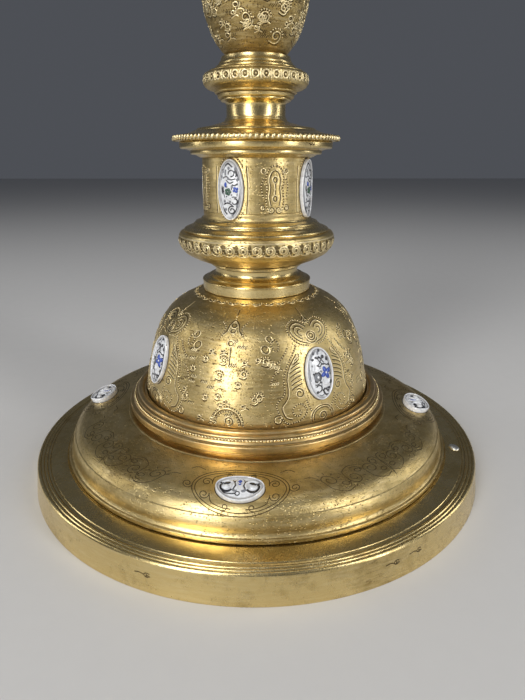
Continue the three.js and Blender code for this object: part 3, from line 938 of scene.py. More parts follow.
class Plaque:
    """A raised oval of enamel, with a rolled rim round a low dome, and its strokes and drops. Millimetres."""

    PROFILE = (
        (1.0, -0.3), (1.0, 0.45), (0.985, 0.72), (0.96, 0.88), (0.935, 0.92), (0.91, 0.86), (0.885, 0.72),
        (RIM, 0.64), (0.72, 0.72), (0.5, 0.84), (0.25, 0.94), (0.0, 0.98),
    )

    def __init__(self, wide, tall, proud, drawn_wide, drawn_tall):
        self.wide, self.tall, self.proud = wide, tall, proud
        self.across, self.along = wide / drawn_wide, tall / drawn_tall
        self.inset = (1 - RIM) * min(wide, tall)
        self.bm = bmesh.new()
        grime_and_shade = self.bm.verts.layers.float.new("groove")
        line = [self.bm.verts.new((share, 0, out)) for share, out in self.PROFILE]
        for vert in line:
            # Painted shade on the low wall at the plaque's foot, and a line of painted shade with grime in
            # the dip inside the rim.
            vert[grime_and_shade] = 1.0 if vert.co.z < 0.4 else 0.8 * (abs(vert.co.x - RIM) < 0.03)
        edges = [self.bm.edges.new(pair) for pair in zip(line, line[1:])]
        bmesh.ops.spin(
            self.bm, geom=line + edges, cent=(0, 0, 0), axis=(0, 0, 1), angle=math.tau, steps=56,
            use_merge=True, use_duplicate=False,
        )
        bmesh.ops.remove_doubles(self.bm, verts=self.bm.verts, dist=1e-5)
        bmesh.ops.recalc_face_normals(self.bm, faces=self.bm.faces)
        if min(self.bm.faces, key=lambda f: f.calc_center_median().length).normal.z < 0:
            bmesh.ops.reverse_faces(self.bm, faces=self.bm.faces)
        for vert in self.bm.verts:
            share = math.hypot(vert.co.x, vert.co.y)
            inner = min(1, share / RIM)
            rim = max(0, (share - RIM) / (1 - RIM)) * self.inset
            ways = Vector((vert.co.x, vert.co.y)) / max(share, 1e-6)
            vert.co = (
                ways.x * ((wide - self.inset) * inner + rim), ways.y * ((tall - self.inset) * inner + rim),
                vert.co.z * proud,
            )

    def height(self, x, y):
        """How far out the domed face is at a place."""
        share = RIM * math.hypot(x / (self.wide - self.inset), y / (self.tall - self.inset))
        line = self.PROFILE[::-1]
        return self.proud * float(np.interp(min(share, RIM), [p[0] for p in line], [p[1] for p in line]))

    def drape(self, verts):
        for vert in verts:
            vert.co.z += self.height(vert.co.x, vert.co.y)

    def scaled(self, points):
        return [(x * self.across, y * self.along) for x, y in points]

    def stroke(self, path, width=0.5, colour=BLACK, rise=0.05):
        """A line of enamel along samples that are already scaled."""
        half = width * self.across * 0.6
        across = (
            (-half, -0.04, 0), (-half * 0.7, rise * 0.8, 0), (0, rise, 0), (half * 0.7, rise * 0.8, 0),
            (half, -0.04, 0),
        )
        self.drape(ribbon(self.bm, np.asarray(path), across, colour))

    def line(self, *points, width=0.45, colour=BLACK, rise=0.05):
        """A smooth line through points."""
        self.stroke(flowing(self.scaled(points), 0.3), width, colour, rise)

    def ridge(self, *points, width=0.55):
        """A raised white line through points."""
        self.line(*points, width=width, colour=WHITE, rise=0.28)

    def loop(self, x, y, wide, tall, width=0.45, start=0, sweep=360, colour=BLACK):
        """Part of an oval."""
        across, along = self.across, self.along
        self.stroke(bow(x * across, y * along, wide * across, tall * along, start, sweep), width, colour)

    def drop(self, x, y, radius, colour=BLACK, rise=0.3, stretch=(1, 1), turn=0.0):
        """A drop of enamel."""
        place = (x * self.across, y * self.along, radius * self.across)
        self.drape(boss(self.bm, *place, rise, colour, 2, stretch, math.radians(turn)))


def upright_plaque(wide, tall, proud):
    """Lattice at the top, a blue flower at the middle and curled leaves below, for an oval of 5 by 8.3."""
    plaque = Plaque(wide, tall, proud, 5, 8.3)
    stroke, loop, drop = plaque.line, plaque.loop, plaque.drop
    stroke((0.3, 7.3), (-0.1, 6.6), (-0.2, 5.9), width=0.6, colour=GREY)
    loop(0, 0, 3.85, 7.1, 0.28, 100, 95, GREY)
    loop(0, 0, 3.85, 7.1, 0.32, 300, 120)
    stroke((-2.9, 3.0), (-2.2, 1.9), (-2.6, 0.9), width=0.4, colour=GREY)
    stroke((-0.2, 1.9), (-0.4, 1.1), (0.2, 0.5), width=0.5, colour=GREY)
    stroke((-2.9, -2.9), (-2.0, -3.2), (-1.0, -2.9), width=0.4)
    stroke((0.2, -4.9), (0.5, -6.0), (1.3, -7.0), width=0.5)
    stroke((-1.9, 6.1), (-1.3, 6.7), width=0.7)
    stroke((-1.5, 5.3), (-0.8, 4.8), (-0.2, 5.0), (0.6, 4.9))
    stroke((-1.0, 5.5), (-0.4, 4.3), (0.4, 3.3), (1.3, 2.6), width=0.35)
    stroke((-0.2, 5.5), (0.6, 4.4), (1.5, 3.2), width=0.35)
    stroke((1.5, 5.2), (0.6, 4.3), (-0.2, 3.2), (-1.0, 2.5), width=0.35)
    stroke((-1.3, 2.8), (-0.3, 2.2), (0.5, 2.8), (1.6, 2.8), (2.6, 2.4), (3.4, 2.6), width=0.4)
    for x, y, radius in (
        (1.4, 5.1, 0.6), (3.2, 5.7, 0.5), (2.9, 4.2, 0.65), (3.4, -3.1, 0.66), (0.5, 7.1, 0.5),
        (-2.3, 4.6, 0.45), (-0.6, -2.6, 0.4), (-2.7, 0.2, 0.4), (2.9, -1.9, 0.4), (-1.9, -5.6, 0.45),
        (0.1, -5.2, 0.35), (1.9, 6.4, 0.4),
    ):
        drop(x, y, radius, BLACK, 0.25)
    for turn in range(0, 360, 90):
        out = math.radians(turn + 25)
        drop(1.8 + 1.05 * math.cos(out), 0.1 + 1.1 * math.sin(out), 0.95, BLUE, 0.35, (1.15, 0.8), turn + 25)
    drop(1.8, 0.1, 0.4, WHITE, 1.1)
    drop(-1.6, -1.0, 1.1, GREY, 0.3, (1, 1.25))
    loop(-1.5, -0.9, 1.2, 1.5, 0.55, -60, 330)
    drop(-1.4, -0.9, 0.5, WHITE, 1.0)
    loop(-1.3, -4.5, 1.0, 1.05, 0.42, 150, -290)
    loop(1.9, -5.6, 1.6, 1.3, 0.5, 130, 250)
    for x, y in ((1.3, -5.0), (2.1, -4.8), (2.7, -4.9), (1.9, -5.6)):
        drop(x, y, 0.42, BLACK, 0.3)
    loop(0.6, -3.7, 0.9, 1.7, 0.35, 95, 110, GREY)
    stroke((-1.2, -6.6), (-0.5, -6.9), (0.3, -6.6), width=0.4, colour=GREY)
    stroke((3.3, 1.6), (3.6, 0.4), (3.4, -0.9), width=0.4)
    stroke((3.1, 2.6), (3.3, 1.9), width=0.5)
    for points in (
        ((-3.1, 4.6), (-3.4, 1.5), (-2.9, -1.5), (-2.8, -4.0)),
        ((-1.9, 3.4), (-2.5, 1.5), (-1.6, 0.9), (-0.2, 1.4)),
        ((0.1, -2.0), (0.6, -3.2), (2.4, -3.3), (3.0, -1.9)), ((0.3, 6.4), (1.7, 6.4), (2.6, 5.2)),
    ):
        plaque.ridge(*points, width=0.5)
    return plaque.bm


def tall_plaque(wide, tall, proud):
    """A green rosette at the middle between scrolls, drawn for an oval of 4.2 by 9."""
    plaque = Plaque(wide, tall, proud, 4.2, 9)
    stroke, loop, drop = plaque.line, plaque.loop, plaque.drop
    loop(0, 0, 3.1, 7.6, 0.3, 100, 130, GREY)
    loop(0, 0, 3.1, 7.6, 0.32, 280, 130)
    stroke((1.6, 5.6), (2.2, 4.6), (2.0, 3.8), width=0.45)
    stroke((-2.0, 1.0), (-1.9, -0.9), (-1.5, -2.2), width=0.3)
    stroke((0.9, 1.6), (1.8, 1.4), (2.6, 1.9), width=0.5)
    stroke((0.3, -2.6), (1.2, -2.0), (2.3, -2.1), width=0.4)
    stroke((-1.3, 7.0), (-0.3, 7.6), (1.0, 6.6), width=0.5)
    stroke((-2.3, 6.0), (-2.0, 5.0), width=0.4)
    for x, y, radius in (
        (1.9, 6.1, 0.4), (-0.2, 6.3, 0.4), (2.5, 3.0, 0.4), (-2.6, 3.9, 0.35), (-0.3, 3.3, 0.35),
        (0.9, 1.0, 0.35), (2.6, -1.4, 0.4), (-1.6, -3.3, 0.4), (0.2, -3.4, 0.35), (2.3, -4.6, 0.4),
        (-1.3, -5.7, 0.4), (0.8, -7.4, 0.35),
    ):
        drop(x, y, radius, GREY, 0.3, (1, 1.3))
    stroke((-1.2, 5.9), (-1.3, 4.9), (-1.2, 4.2), width=0.6, colour=GREY)
    loop(0.6, 4.8, 0.9, 0.9, 0.4, 200, -300)
    stroke((-2.2, 3.4), (-0.9, 3.9), (0.5, 3.0), (2.0, 3.3), width=0.35)
    stroke((-1.0, 2.9), (0.2, 2.0), (1.4, 2.5), width=0.35)
    drop(-1.2, 1.5, 0.62, BLUE, 0.35, (0.8, 1.3))
    for turn in range(0, 360, 72):
        out = math.radians(turn)
        x, y = -0.4 + 0.62 * math.cos(out), -0.5 + 0.65 * math.sin(out)
        drop(x, y, 0.55, GREEN, 0.4)
        x, y = -0.4 + 1.45 * math.cos(out + 0.6), -0.5 + 1.5 * math.sin(out + 0.6)
        drop(x, y, 0.24, BLACK, 0.5)
    for turn in range(30, 390, 90):
        out = math.radians(turn)
        x, y = 1.95 + 0.5 * math.cos(out), 0.1 + 0.55 * math.sin(out)
        drop(x, y, 0.46, BLUE, 0.4)
    drop(-2.5, 0, 0.42, BLACK, 0.3, (1, 3.0))
    loop(1.6, -3.3, 0.85, 0.85, 0.42, 100, -260)
    stroke((-2.1, -4.3), (-0.7, -3.8), (0.5, -4.2), (1.1, -4.9), width=0.4)
    across, along = plaque.across, plaque.along
    plaque.stroke(curl(0.7 * across, -6.0 * along, 1.35 * across, 0.35 * across, 60, 1.4), 0.4)
    stroke((-2.2, -5.2), (-1.7, -6.3), (-0.9, -7.2), width=0.5)
    for points in (
        ((-2.6, 2.9), (-2.9, 0.2), (-2.4, -2.9)), ((2.9, 2.8), (3.0, 0), (2.6, -2.6)),
        ((-1.3, -2.2), (0.4, -2.9), (0.8, -2.0)),
    ):
        plaque.ridge(*points, width=0.45)
    return plaque.bm


def lying_plaque(wide, tall, proud):
    """Two curled leaves that meet at a blue bud, drawn for an oval of 7 by 4.6 lying on its side."""
    plaque = Plaque(wide, tall, proud, 7, 4.6)
    ridge, line, stroke, drop = plaque.ridge, plaque.line, plaque.stroke, plaque.drop
    for side in (-1, 1):
        stroke(curl(side * 3.7, -0.1, 2.35, 1.55, 90 + side * 40, side * 0.8), 0.62)
        line((side * 0.55, 2.9), (side * 1.35, 1.6), (side * 1.15, 0), (side * 1.9, -1.6), width=0.5)
        stroke(bow(side * 3.9, 0.3, 1.0, 0.9, 90 - side * 100, side * 160), 0.35, GREY)
        drop(side * 5.3, 1.3, 0.42, BLACK, 0.25, (1.3, 0.7), side * -35)
        drop(side * 3.6, 1.0, 0.95, BLACK, 0.2, (1.15, 0.7), side * -20)
        drop(side * 3.9, -0.6, 1.05, WHITE, 0.45, (1.15, 0.9))
        ridge(
            (side * 5.2, 1.4), (side * 3.8, 2.3), (side * 2.2, 1.5), (side * 1.7, 0), (side * 2.3, -1.5),
            width=0.6,
        )
        line((side * 2.1, 2.2), (side * 1.25, 1.2), (side * 1.1, -0.2), width=0.5)
        ridge((side * 0.2, 3.1), (side * 0.95, 1.6), (side * 0.7, -0.4), (side * 1.2, -1.8), width=0.5)
        drop(side * 1.3, -1.8, 0.7, GREY, 0.25, (1.1, 0.7), side * 25)
    line((-5.3, -1.2), (-4.2, -2.4), (-2.4, -2.7), (-1.1, -2.6), width=0.35)
    line((5.4, -0.4), (4.9, -1.6), (3.9, -2.3), width=0.5)
    drop(0, 1.9, 0.62, BLUE, 0.4, (0.95, 1.25))
    drop(0, 0.6, 0.5, BLUE, 0.4, (0.8, 1.4))
    drop(0, 0.6, 0.22, WHITE, 1.6)
    stroke(oval(-0.4, -2.6, 0.6, 0.5), 0.28)
    return plaque.bm


def plaque_row(row, body, skin, wide, tall, proud, design):
    """The four plaques of a row, where the frame has them, each in a ring of painted shadow."""
    spots = plaque_spots(row, skin)
    for i, spot in enumerate(spots, 1):
        node = f"{row}_enamel_{i}"
        piece(
            laid(design(wide, tall, proud), skin, [spot]), node + "_finished", body, *ENAMELS,
            replaces=[node],
        )
    engraving(row + "_plaque_edges", body, "gilt", skin, (plaque_shadow_ring(wide, tall), spots, furrow(0.5)))


# ---- foot ----
class CIBORIUM_OT_foot(bpy.types.Operator):
    """Turns the foot's ring and its raised shoulder"""

    bl_idname = "ciborium.foot"
    bl_label = "Foot"

    def execute(self, context):
        wide, floor, seat = room("foot_ring")
        rim = wide - 1.2
        top = seat - 0.2
        inner = 66
        ring = outline(
            (wide - 4, floor), (wide, floor), (rim + 0.15, top - 1.1), (rim - 0.55, top, 0.35),
            (rim - 0.9, top - 0.05), (rim - 1.1, top - 0.3), (rim - 1.35, top - 0.05),
            (rim - 1.95, top - 0.05, 0.3), (rim - 2.2, top - 0.3), (rim - 2.45, top - 0.05),
            (rim - 3.0, top - 0.05, 0.3), (rim - 3.3, top - 0.35), (rim - 4.0, top - 0.15),
            (rim - 4.25, top - 0.4), (rim - 4.5, top - 0.15), (70.2, seat - 0.1), (69.8, seat - 0.3),
            (inner, seat - 0.3), (inner, seat - 1.8), (wide - 5.7, seat - 2.4), (wide - 3.2, top - 3.4, -0.3),
        )
        finished(turned(ring), "foot_ring", "foot", "gilt")

        _, base, lip = room("foot_shoulder")
        skin = shoulder_skin()
        lining = outline((42.4, lip), (42.4, lip - 1.3), (60.3, 19.1), (66.5, 12.6, -0.35), (66.6, base))
        finished(turned(skin + lining), "foot_shoulder", "foot", "gilt_engraved")
        skin = Skin(skin)
        spots = plaque_spots("foot", skin)
        engraving(
            "foot_shoulder_engraving", "foot", "gilt_engraved", skin,
            (cartouche(14, 8.2), spots, furrow(0.42)), (running_scroll(22), halfway(spots), furrow(0.36)),
        )
        nick = Drawing()
        nick.line(
            [(-2.6, 0.3), (-1.0, 0.5), (0.4, 0.1)], bow(1.2, 0.2, 0.9, 0.6, 30, 280),
            [(0.6, -0.3), (1.4, 0.1), (2.2, -0.2)], [(1.0, 0.5), (1.3, -0.4)],
        )
        band = Skin([(wide, floor), (rim + 0.15, top - 1.1)])
        engraving(
            "foot_ring_nicks", "foot", "gilt", band,
            (
                nick,
                [
                    (math.radians(way), up)
                    for way, up in ((-22, 5), (27, 5.2), (33, 5.6), (140, 4), (-118, 6))
                ],
                furrow(0.45),
            ),
        )
        # A bright silver spot on the flange, put in for a lamp's glint as a painted highlight.
        bm = bmesh.new()
        boss(bm, 0, 0, 1.7, 0.4, 0, 3, (1.3, 1), 0.5)
        flange = Skin([(rim - 4.5, top - 0.15), (70.2, seat - 0.1)])
        piece(laid(bm, flange, [(math.radians(76), 2.2)]), "flange_glint_spot", "foot", "silver", slot="iron")
        return {"FINISHED"}


def shoulder_skin():
    _, seat, lip = room("foot_shoulder")
    return outline(
        (69.4, seat), (69.35, seat + 1.25), (68.6, seat + 1.45, 0.3), (67.95, seat + 3.0, -0.25),
        (66.9, 16.6, 0.12), (66.6, 16.75), (66.3, 17.1), (60.5, 20.4, 0.22), (48, lip - 0.3), (47.6, lip),
    )


class CIBORIUM_OT_dome(bpy.types.Operator):
    """Turns the foot's dome and the moulded rim that it stands in"""

    bl_idname = "ciborium.dome"
    bl_label = "Foot dome"

    def execute(self, context):
        wide, low, high = room("dome_rim")
        rim = outline(
            (41, low), (44.3, low), (44.6, low + 1.0, -0.3), (wide - 0.5, low + 1.6), (wide, low + 2.2, 0.4),
            (wide, low + 3.6), (wide - 0.5, low + 4.1, 0.4), (wide - 1.1, low + 4.3), (wide - 1.4, low + 5.0),
            (wide - 2.3, low + 5.5, -0.2), (wide - 2.5, low + 6.3, 0.5), (wide - 3.1, low + 6.6),
            (wide - 3.4, low + 7.6, 0.5), (wide - 4.1, low + 7.8), (wide - 5.2, high, 0.3), (41, high),
        )
        finished(turned(rim), "dome_rim", "foot", "gilt_rim")
        beads("dome_rim_beads", "foot", wide - 1.85, low + 5.25, 264, size=0.46)

        _, low, high = room("foot_dome")
        skin = dome_skin()
        lining = outline((3.6, high), (3.6, high - 1.3), (18.9, high - 1.3), (36.3, 45, -0.38), (39.2, low))
        finished(turned(skin + lining), "foot_dome", "foot", "gilt_engraved")
        skin = Skin(skin)
        spots = plaque_spots("dome", skin)
        rng = random.Random(11)
        front = math.degrees(spots[0][0])
        spans = [(front + 90 * i + 20, front + 90 * i + 70) for i in range(len(spots))]
        engraving(
            "dome_engraving", "foot", "gilt_engraved", skin, (heart_and_scrolls(), spots),
            (hanging_trefoil(), halfway(spots)), (collar_garland(), around(34, skin.up_to_radius(21.6))),
            (leaf(1.0), scattered(rng, 26, 14, 30, spans)), (leaf(0.7), scattered(rng, 26, 12, 32, spans)),
            (sprig(1.1), scattered(rng, 40, 8, 34, spans)),
            (stroke_cluster(1.3), scattered(rng, 60, 8, 34, spans)),
            (stroke_cluster(0.9), scattered(rng, 60, 16, 30, spans), furrow(0.3)),
        )
        return {"FINISHED"}


def dome_skin():
    _, low, high = room("foot_dome")
    return outline(
        (40.6, low), (40.4, 31.2), (37.4, 45.5, 0.05), (33.1, 55.5, 0.08), (25.3, 62.2, 0.13),
        (18.9, high, 0.06),
    )


# ---- stem ----
class CIBORIUM_OT_stem(bpy.types.Operator):
    """Turns the pieces that are stacked on the rod between the dome and the knop"""

    bl_idname = "ciborium.stem"
    bl_label = "Stem"

    def execute(self, context):
        for name, slot, bm in (
            ("dome_collar", "gilt", self.collar()), ("neck_washer", "gilt", self.washer()),
            ("scroll_bowl", "gilt_engraved", self.scroll_bowl()), ("drum_base", "gilt", self.drum_base()),
            ("drum", "gilt_engraved", self.drum()), ("cornice_base", "gilt", self.cornice_base()),
            ("cornice_disc", "gilt", self.cornice_disc()), ("lower_neck", "gilt", self.lower_neck()),
            ("knop_collar", "gilt_engraved", self.knop_collar()), ("knop_ring", "gilt", self.knop_ring()),
        ):
            finished(bm, name, "stem", slot)
        self.ornament()
        return {"FINISHED"}

    def ornament(self):
        wide, low, high = room("scroll_bowl")
        skin = Skin(bowl_skin())
        spiral = Drawing()
        spiral.line(
            curl(0, 0, 1.65, 0.35, -90, 1.9),
            [(-2.1, -1.2), (-1.2, -2.0), (0, -2.1), (1.1, -1.9), (2.0, -1.3)],
        )
        spiral.line(np.array([(-2.1, 2.25), (0, 2.25), (2.1, 2.25)]))
        spiral.dot(2.05, -0.7, 0.27)
        spots = around(40, skin.up_to_height(low + 7.4))
        engraving(
            "scroll_bowl_engraving", "stem", "gilt_engraved", skin, (ground(2.08), spots, grime_and_shade_band(4.2)),
            (spiral, spots, raised()),
        )
        skin = Skin(drum_skin())
        spots = plaque_spots("drum", skin)
        frame_line = Drawing()
        frame_line.line([(5.2, -7), (5.6, 0), (5.2, 7)])
        frame_line.dotted(bow(0, 0, 5.2, 10, 40, 100))
        frame_line.dotted(bow(0, 0, 5.2, 10, 220, 100))
        frame_line.line([(-5.2, -7), (-5.6, 0), (-5.2, 7)])
        engraving(
            "drum_engraving", "stem", "gilt_engraved", skin, (drum_scroll(), halfway(spots)),
            (frame_line, spots),
        )
        wide, low, high = room("cornice_disc")
        beads("cornice_gadroons", "stem", wide - 0.3, low + 1.05, 104, (0.85, 1.5), -28, 0, 0.62)
        wide, low, high = room("knop_collar")
        skin = Skin(knop_collar_skin())
        ring = Drawing()
        ring.line(oval(0, 0, 1.0, 1.05), [(1.6, -1.2), (1.45, 0), (1.6, 1.2)])
        ring.dot(0, 0, 0.34)
        spots = around(34, skin.up_to_height(low + 5.4))
        engraving(
            "knop_collar_engraving", "stem", "gilt_engraved", skin, (ground(1.58), spots, grime_and_shade_band(2.9)),
            (ring, spots, raised()),
        )
        wide, low, high = room("cornice_base")
        nick = Drawing()
        nick.line([(-0.9, 0.3), (-0.2, -0.1), (0.6, 0.25)], [(0.8, -0.2), (1.5, 0.1)])
        spots = [(math.radians(way), 0.5) for way in (41, 152, -96)]
        engraving(
            "cornice_nicks", "stem", "gilt", Skin([(wide, low + 3.2), (wide, low + 4.2)]),
            (nick, spots, furrow(0.5)),
        )

    def collar(self):
        wide, low, high = room("dome_collar")
        return bored(
            (wide - 0.15, low), (wide - 0.15, low + 2.9), (wide, low + 3.2, 0.5),
            (wide - 0.3, low + 3.7, 0.5), (wide - 1.1, low + 3.9), (16.9, low + 4.6, -0.2),
            (15.2, low + 5.1, 0.2), (14.3, low + 6.6, -0.3), (14.5, high - 0.5), (15.1, high - 0.3),
            (15.1, high),
        )

    def washer(self):
        wide, low, high = room("neck_washer")
        return bored((wide - 0.1, low), (wide, (low + high) / 2, 0.5), (wide - 0.1, high, 0.5))

    def scroll_bowl(self):
        return turned(bore_through(bowl_skin()))

    def drum_base(self):
        wide, low, high = room("drum_base")
        return bored(
            (wide, low), (wide - 0.1, low + 0.9, 0.4), (wide - 0.9, low + 1.3), (22.4, low + 1.5),
            (21.5, low + 2.3, -0.2), (20.9, low + 2.5), (20.5, low + 3.2, 0.3), (19.6, low + 3.5),
            (18.7, high - 0.3, -0.2), (18.5, high),
        )

    def drum(self):
        wide, low, high = room("drum")
        straight = wide - 0.3
        return turned(
            outline(
                (straight - 1.4, low), (wide, low), (straight + 0.05, low + 1.5, -0.25),
                (straight, low + 2.0), (straight - 0.1, low + 2.15), (straight, low + 2.3),
                (straight - 0.1, high), (straight - 1.4, high),
            )
        )

    def cornice_base(self):
        wide, low, high = room("cornice_base")
        return bored(
            (18.1, low), (18.9, low + 0.25), (20.9, low + 0.9, -0.2), (21.5, low + 1.5, 0.4),
            (21.5, low + 2.1), (22.2, low + 2.3), (24.1, low + 2.6, -0.1), (wide, low + 3.2, 0.4),
            (wide, low + 4.2), (wide - 0.4, high, 0.4),
        )

    def cornice_disc(self):
        wide, low, high = room("cornice_disc")
        return bored(
            (24.3, low), (25.2, low + 0.1), (wide - 0.5, low + 0.45), (wide - 0.25, low + 1.0, 0.25),
            (wide - 0.7, low + 1.75, 0.25), (25.1, low + 2.1), (24.8, low + 1.9), (24.5, low + 2.2),
            (21.0, low + 2.9, -0.06), (20.4, low + 3.3), (19.4, low + 3.5), (18.9, low + 4.1, 0.2),
            (17.8, low + 4.3), (12, high, -0.05),
        )

    def lower_neck(self):
        wide, low, high = room("lower_neck")
        return bored(
            (wide, low), (wide - 0.3, low + 0.3), (9.9, low + 1.3, -0.3), (9.45, low + 2.2, -0.1),
            (9.45, high - 1.9), (10.2, high - 0.9, -0.25), (11.1, high - 0.6), (11.3, high, 0.3),
        )

    def knop_collar(self):
        return turned(bore_through(knop_collar_skin()))

    def knop_ring(self):
        wide, low, high = room("knop_ring")
        return bored(
            (wide, low), (wide, low + 0.4, 0.3), (12.3, low + 0.9, 0.2), (11.7, low + 1.1),
            (11.5, low + 1.8, 0.2), (10.8, high, -0.15),
        )


def bowl_skin():
    wide, low, high = room("scroll_bowl")
    return outline(
        (14.9, low), (15.6, low + 0.2), (24.1, low + 3.6, 0.10), (wide, low + 7.9, 0.18),
        (wide - 0.7, high - 0.35, 0.16), (wide - 1.4, high), (wide - 2.2, high),
    )


def knop_collar_skin():
    wide, low, high = room("knop_collar")
    return outline(
        (11.4, low), (12.1, low + 0.5, 0.3), (12.2, low + 1.4), (12.9, low + 1.6), (13.1, low + 2.1, 0.4),
        (14.6, low + 2.7, -0.1), (16.1, low + 3.6, 0.15), (wide, low + 4.6, 0.15), (wide, low + 6.2, 0.05),
        (15.9, low + 7.2, 0.25), (14.9, low + 7.5), (14.7, low + 7.9, 0.3), (13.0, high),
    )


def drum_skin():
    wide, low, high = room("drum")
    return [Vector((wide - 0.3, low)), Vector((wide - 0.4, high))]


# ---- knop ----
class CIBORIUM_OT_knop(bpy.types.Operator):
    """Turns the egg-shaped knop and its cap"""

    bl_idname = "ciborium.knop"
    bl_label = "Knop"

    def execute(self, context):
        wide, low, high = room("knop")
        skin = knop_skin()
        lining = outline(
            (3.6, high), (3.6, high - 1.3), (9, high - 1.3), (wide - 1.3, 162, -0.3), (6, low + 1.3, -0.1),
            (5.6, low),
        )
        piece(
            turned(skin + lining), "knop_finished", "knop", "gilt_matted", replaces=["knop"],
            slot="gilt_engraved",
        )
        skin = Skin(skin)
        rng = random.Random(5)
        matted_from, matted_to = 141, 171
        first, last = skin.up_to_height(matted_from), skin.up_to_height(matted_to)
        whole = [(-180, 180)]
        engraving(
            "knop_engraving", "knop", "gilt_engraved", skin,
            *((leaf(size), scattered(rng, 60, first, last, whole)) for size in (1.5, 1.2, 0.9)),
            *((sprig(size), scattered(rng, 70, first, last, whole)) for size in (1.5, 1.0)),
            (stroke_cluster(1.3), scattered(rng, 260, first, last, whole), furrow(0.32)),
            (Drawing().add(heart_and_scrolls(), size=0.42), halfway(plaque_spots("knop", skin))),
        )
        _, low, high = room("knop_cap")
        cap = bored(
            (11.2, low), (12.4, low + 0.6, 0.3), (12.6, low + 1.2, 0.4), (12.4, low + 2.3, 0.4),
            (11.4, low + 2.6), (10.4, low + 3.2, -0.2), (9.9, low + 3.4), (9.4, high, 0.2),
        )
        finished(cap, "knop_cap", "knop", "gilt")
        return {"FINISHED"}


def knop_skin():
    """An egg with a full curve below its waist and a short shoulder above."""
    wide, low, high = room("knop")
    waist, below, above, fullness, steps = 162, 27.4, 12.4, 2.3, 40
    heights = [low + (high - low) * i / steps for i in range(steps + 1)]
    return [
        Vector(
            (wide * (1 - (abs(z - waist) / (below if z < waist else above)) ** fullness) ** (1 / fullness), z)
        )
        for z in heights
    ]


# ---- cup ----
class CIBORIUM_OT_cup(bpy.types.Operator):
    """Turns the cup, its casing and the pieces that carry them"""

    bl_idname = "ciborium.cup"
    bl_label = "Cup"

    def execute(self, context):
        for name, slot, bm in (
            ("upper_neck", "gilt", self.neck()), ("upper_collar", "gilt", self.collar()),
            ("cup_seat", "gilt", self.seat()), ("cup_casing", "gilt_engraved", self.casing()),
            ("casing_rim", "gilt_rim", self.casing_rim()), ("cup", "gilt", self.cup()),
        ):
            finished(bm, name, "cup", slot)
        skin = Skin(casing_skin())
        spots = plaque_spots("casing", skin)
        rng = random.Random(3)
        spans = [(math.degrees(bearing) + 22, math.degrees(bearing) + 68) for bearing, _ in spots]
        up = spots[0][1]
        engraving(
            "casing_engraving", "cup", "gilt_engraved", skin,
            (Drawing().add(heart_and_scrolls(), turn=180, size=0.86), spots),
            (Drawing().add(hanging_trefoil(), turn=180, size=0.8), halfway(spots)),
            (leaf(1.1), scattered(rng, 40, up - 18, up + 8, spans)),
            (sprig(1.1), scattered(rng, 50, up - 22, up + 9, spans)), (running_scroll(8), around(6, up - 30)),
        )
        _, low, _ = room("casing_rim")
        beads("casing_rim_beads", "cup", 49.3, low + 3.5, 280, lean=0.5)
        return {"FINISHED"}

    def neck(self):
        wide, low, high = room("upper_neck")
        return bored(
            (9.3, low), (9.1, low + 0.4, 0.3), (8.0, low + 1.0, -0.25), (7.3, low + 3.2, -0.15),
            (7.3, high - 4.2), (8.4, high - 1.4, -0.2), (wide - 0.3, high - 0.8), (wide, high, 0.3),
        )

    def collar(self):
        wide, low, high = room("upper_collar")
        middle = (low + high) / 2
        return bored(
            (10.2, low), (11.2, low + 0.3), (12.9, low + 1.0, -0.1), (wide, middle, 0.35),
            (12.9, high - 1.0, 0.35), (11.2, high - 0.3, -0.1), (10.4, high), bore=6.2,
        )

    def seat(self):
        wide, low, high = room("cup_seat")
        return bored(
            (10.3, low), (9.6, low + 1.1, -0.3), (12.5, high - 1.2, -0.3), (wide, high - 0.5), (wide, high),
            bore=6.2,
        )

    def casing(self):
        _, low, high = room("cup_casing")
        lining = outline(
            (47.1, high), (44.9, 215, -0.10), (34, 204.8, -0.14), (9, low + 1.3, -0.10), (6.2, low + 1.3),
            (6.2, low),
        )
        return turned(casing_skin() + lining)

    def casing_rim(self):
        wide, low, high = room("casing_rim")
        return turned(
            outline(
                (47.3, low), (49.4, low), (49.8, low + 0.5, 0.3), (wide - 0.3, low + 0.9),
                (wide, low + 1.5, 0.35), (wide, low + 2.3), (wide - 0.5, low + 2.9, 0.4), (49.5, low + 3.2),
                (49.0, low + 3.9, 0.35), (48.1, high, -0.2), (47.3, high),
            )
        )

    def cup(self):
        _, low, high = room("cup")
        skin = outline(
            (0, low), (9, low), (34, 206.3, 0.10), (44.6, 216.5, 0.14), (46.7, 229, 0.08), (47.8, high - 0.6),
            (47.5, high, 0.4),
        )
        lining = outline(
            (46.7, high, 0.4), (46.5, high - 0.6), (45.4, 229), (43.4, 217, -0.08), (33.4, 207.6, -0.14),
            (9, low + 1.3, -0.10), (0, low + 1.3),
        )
        return turned(skin + lining, closed=False)


def casing_skin():
    _, low, high = room("cup_casing")
    return outline((6.2, low), (9, low), (34.4, 204.6, 0.10), (46.3, 216, 0.15), (48.3, high, 0.08))


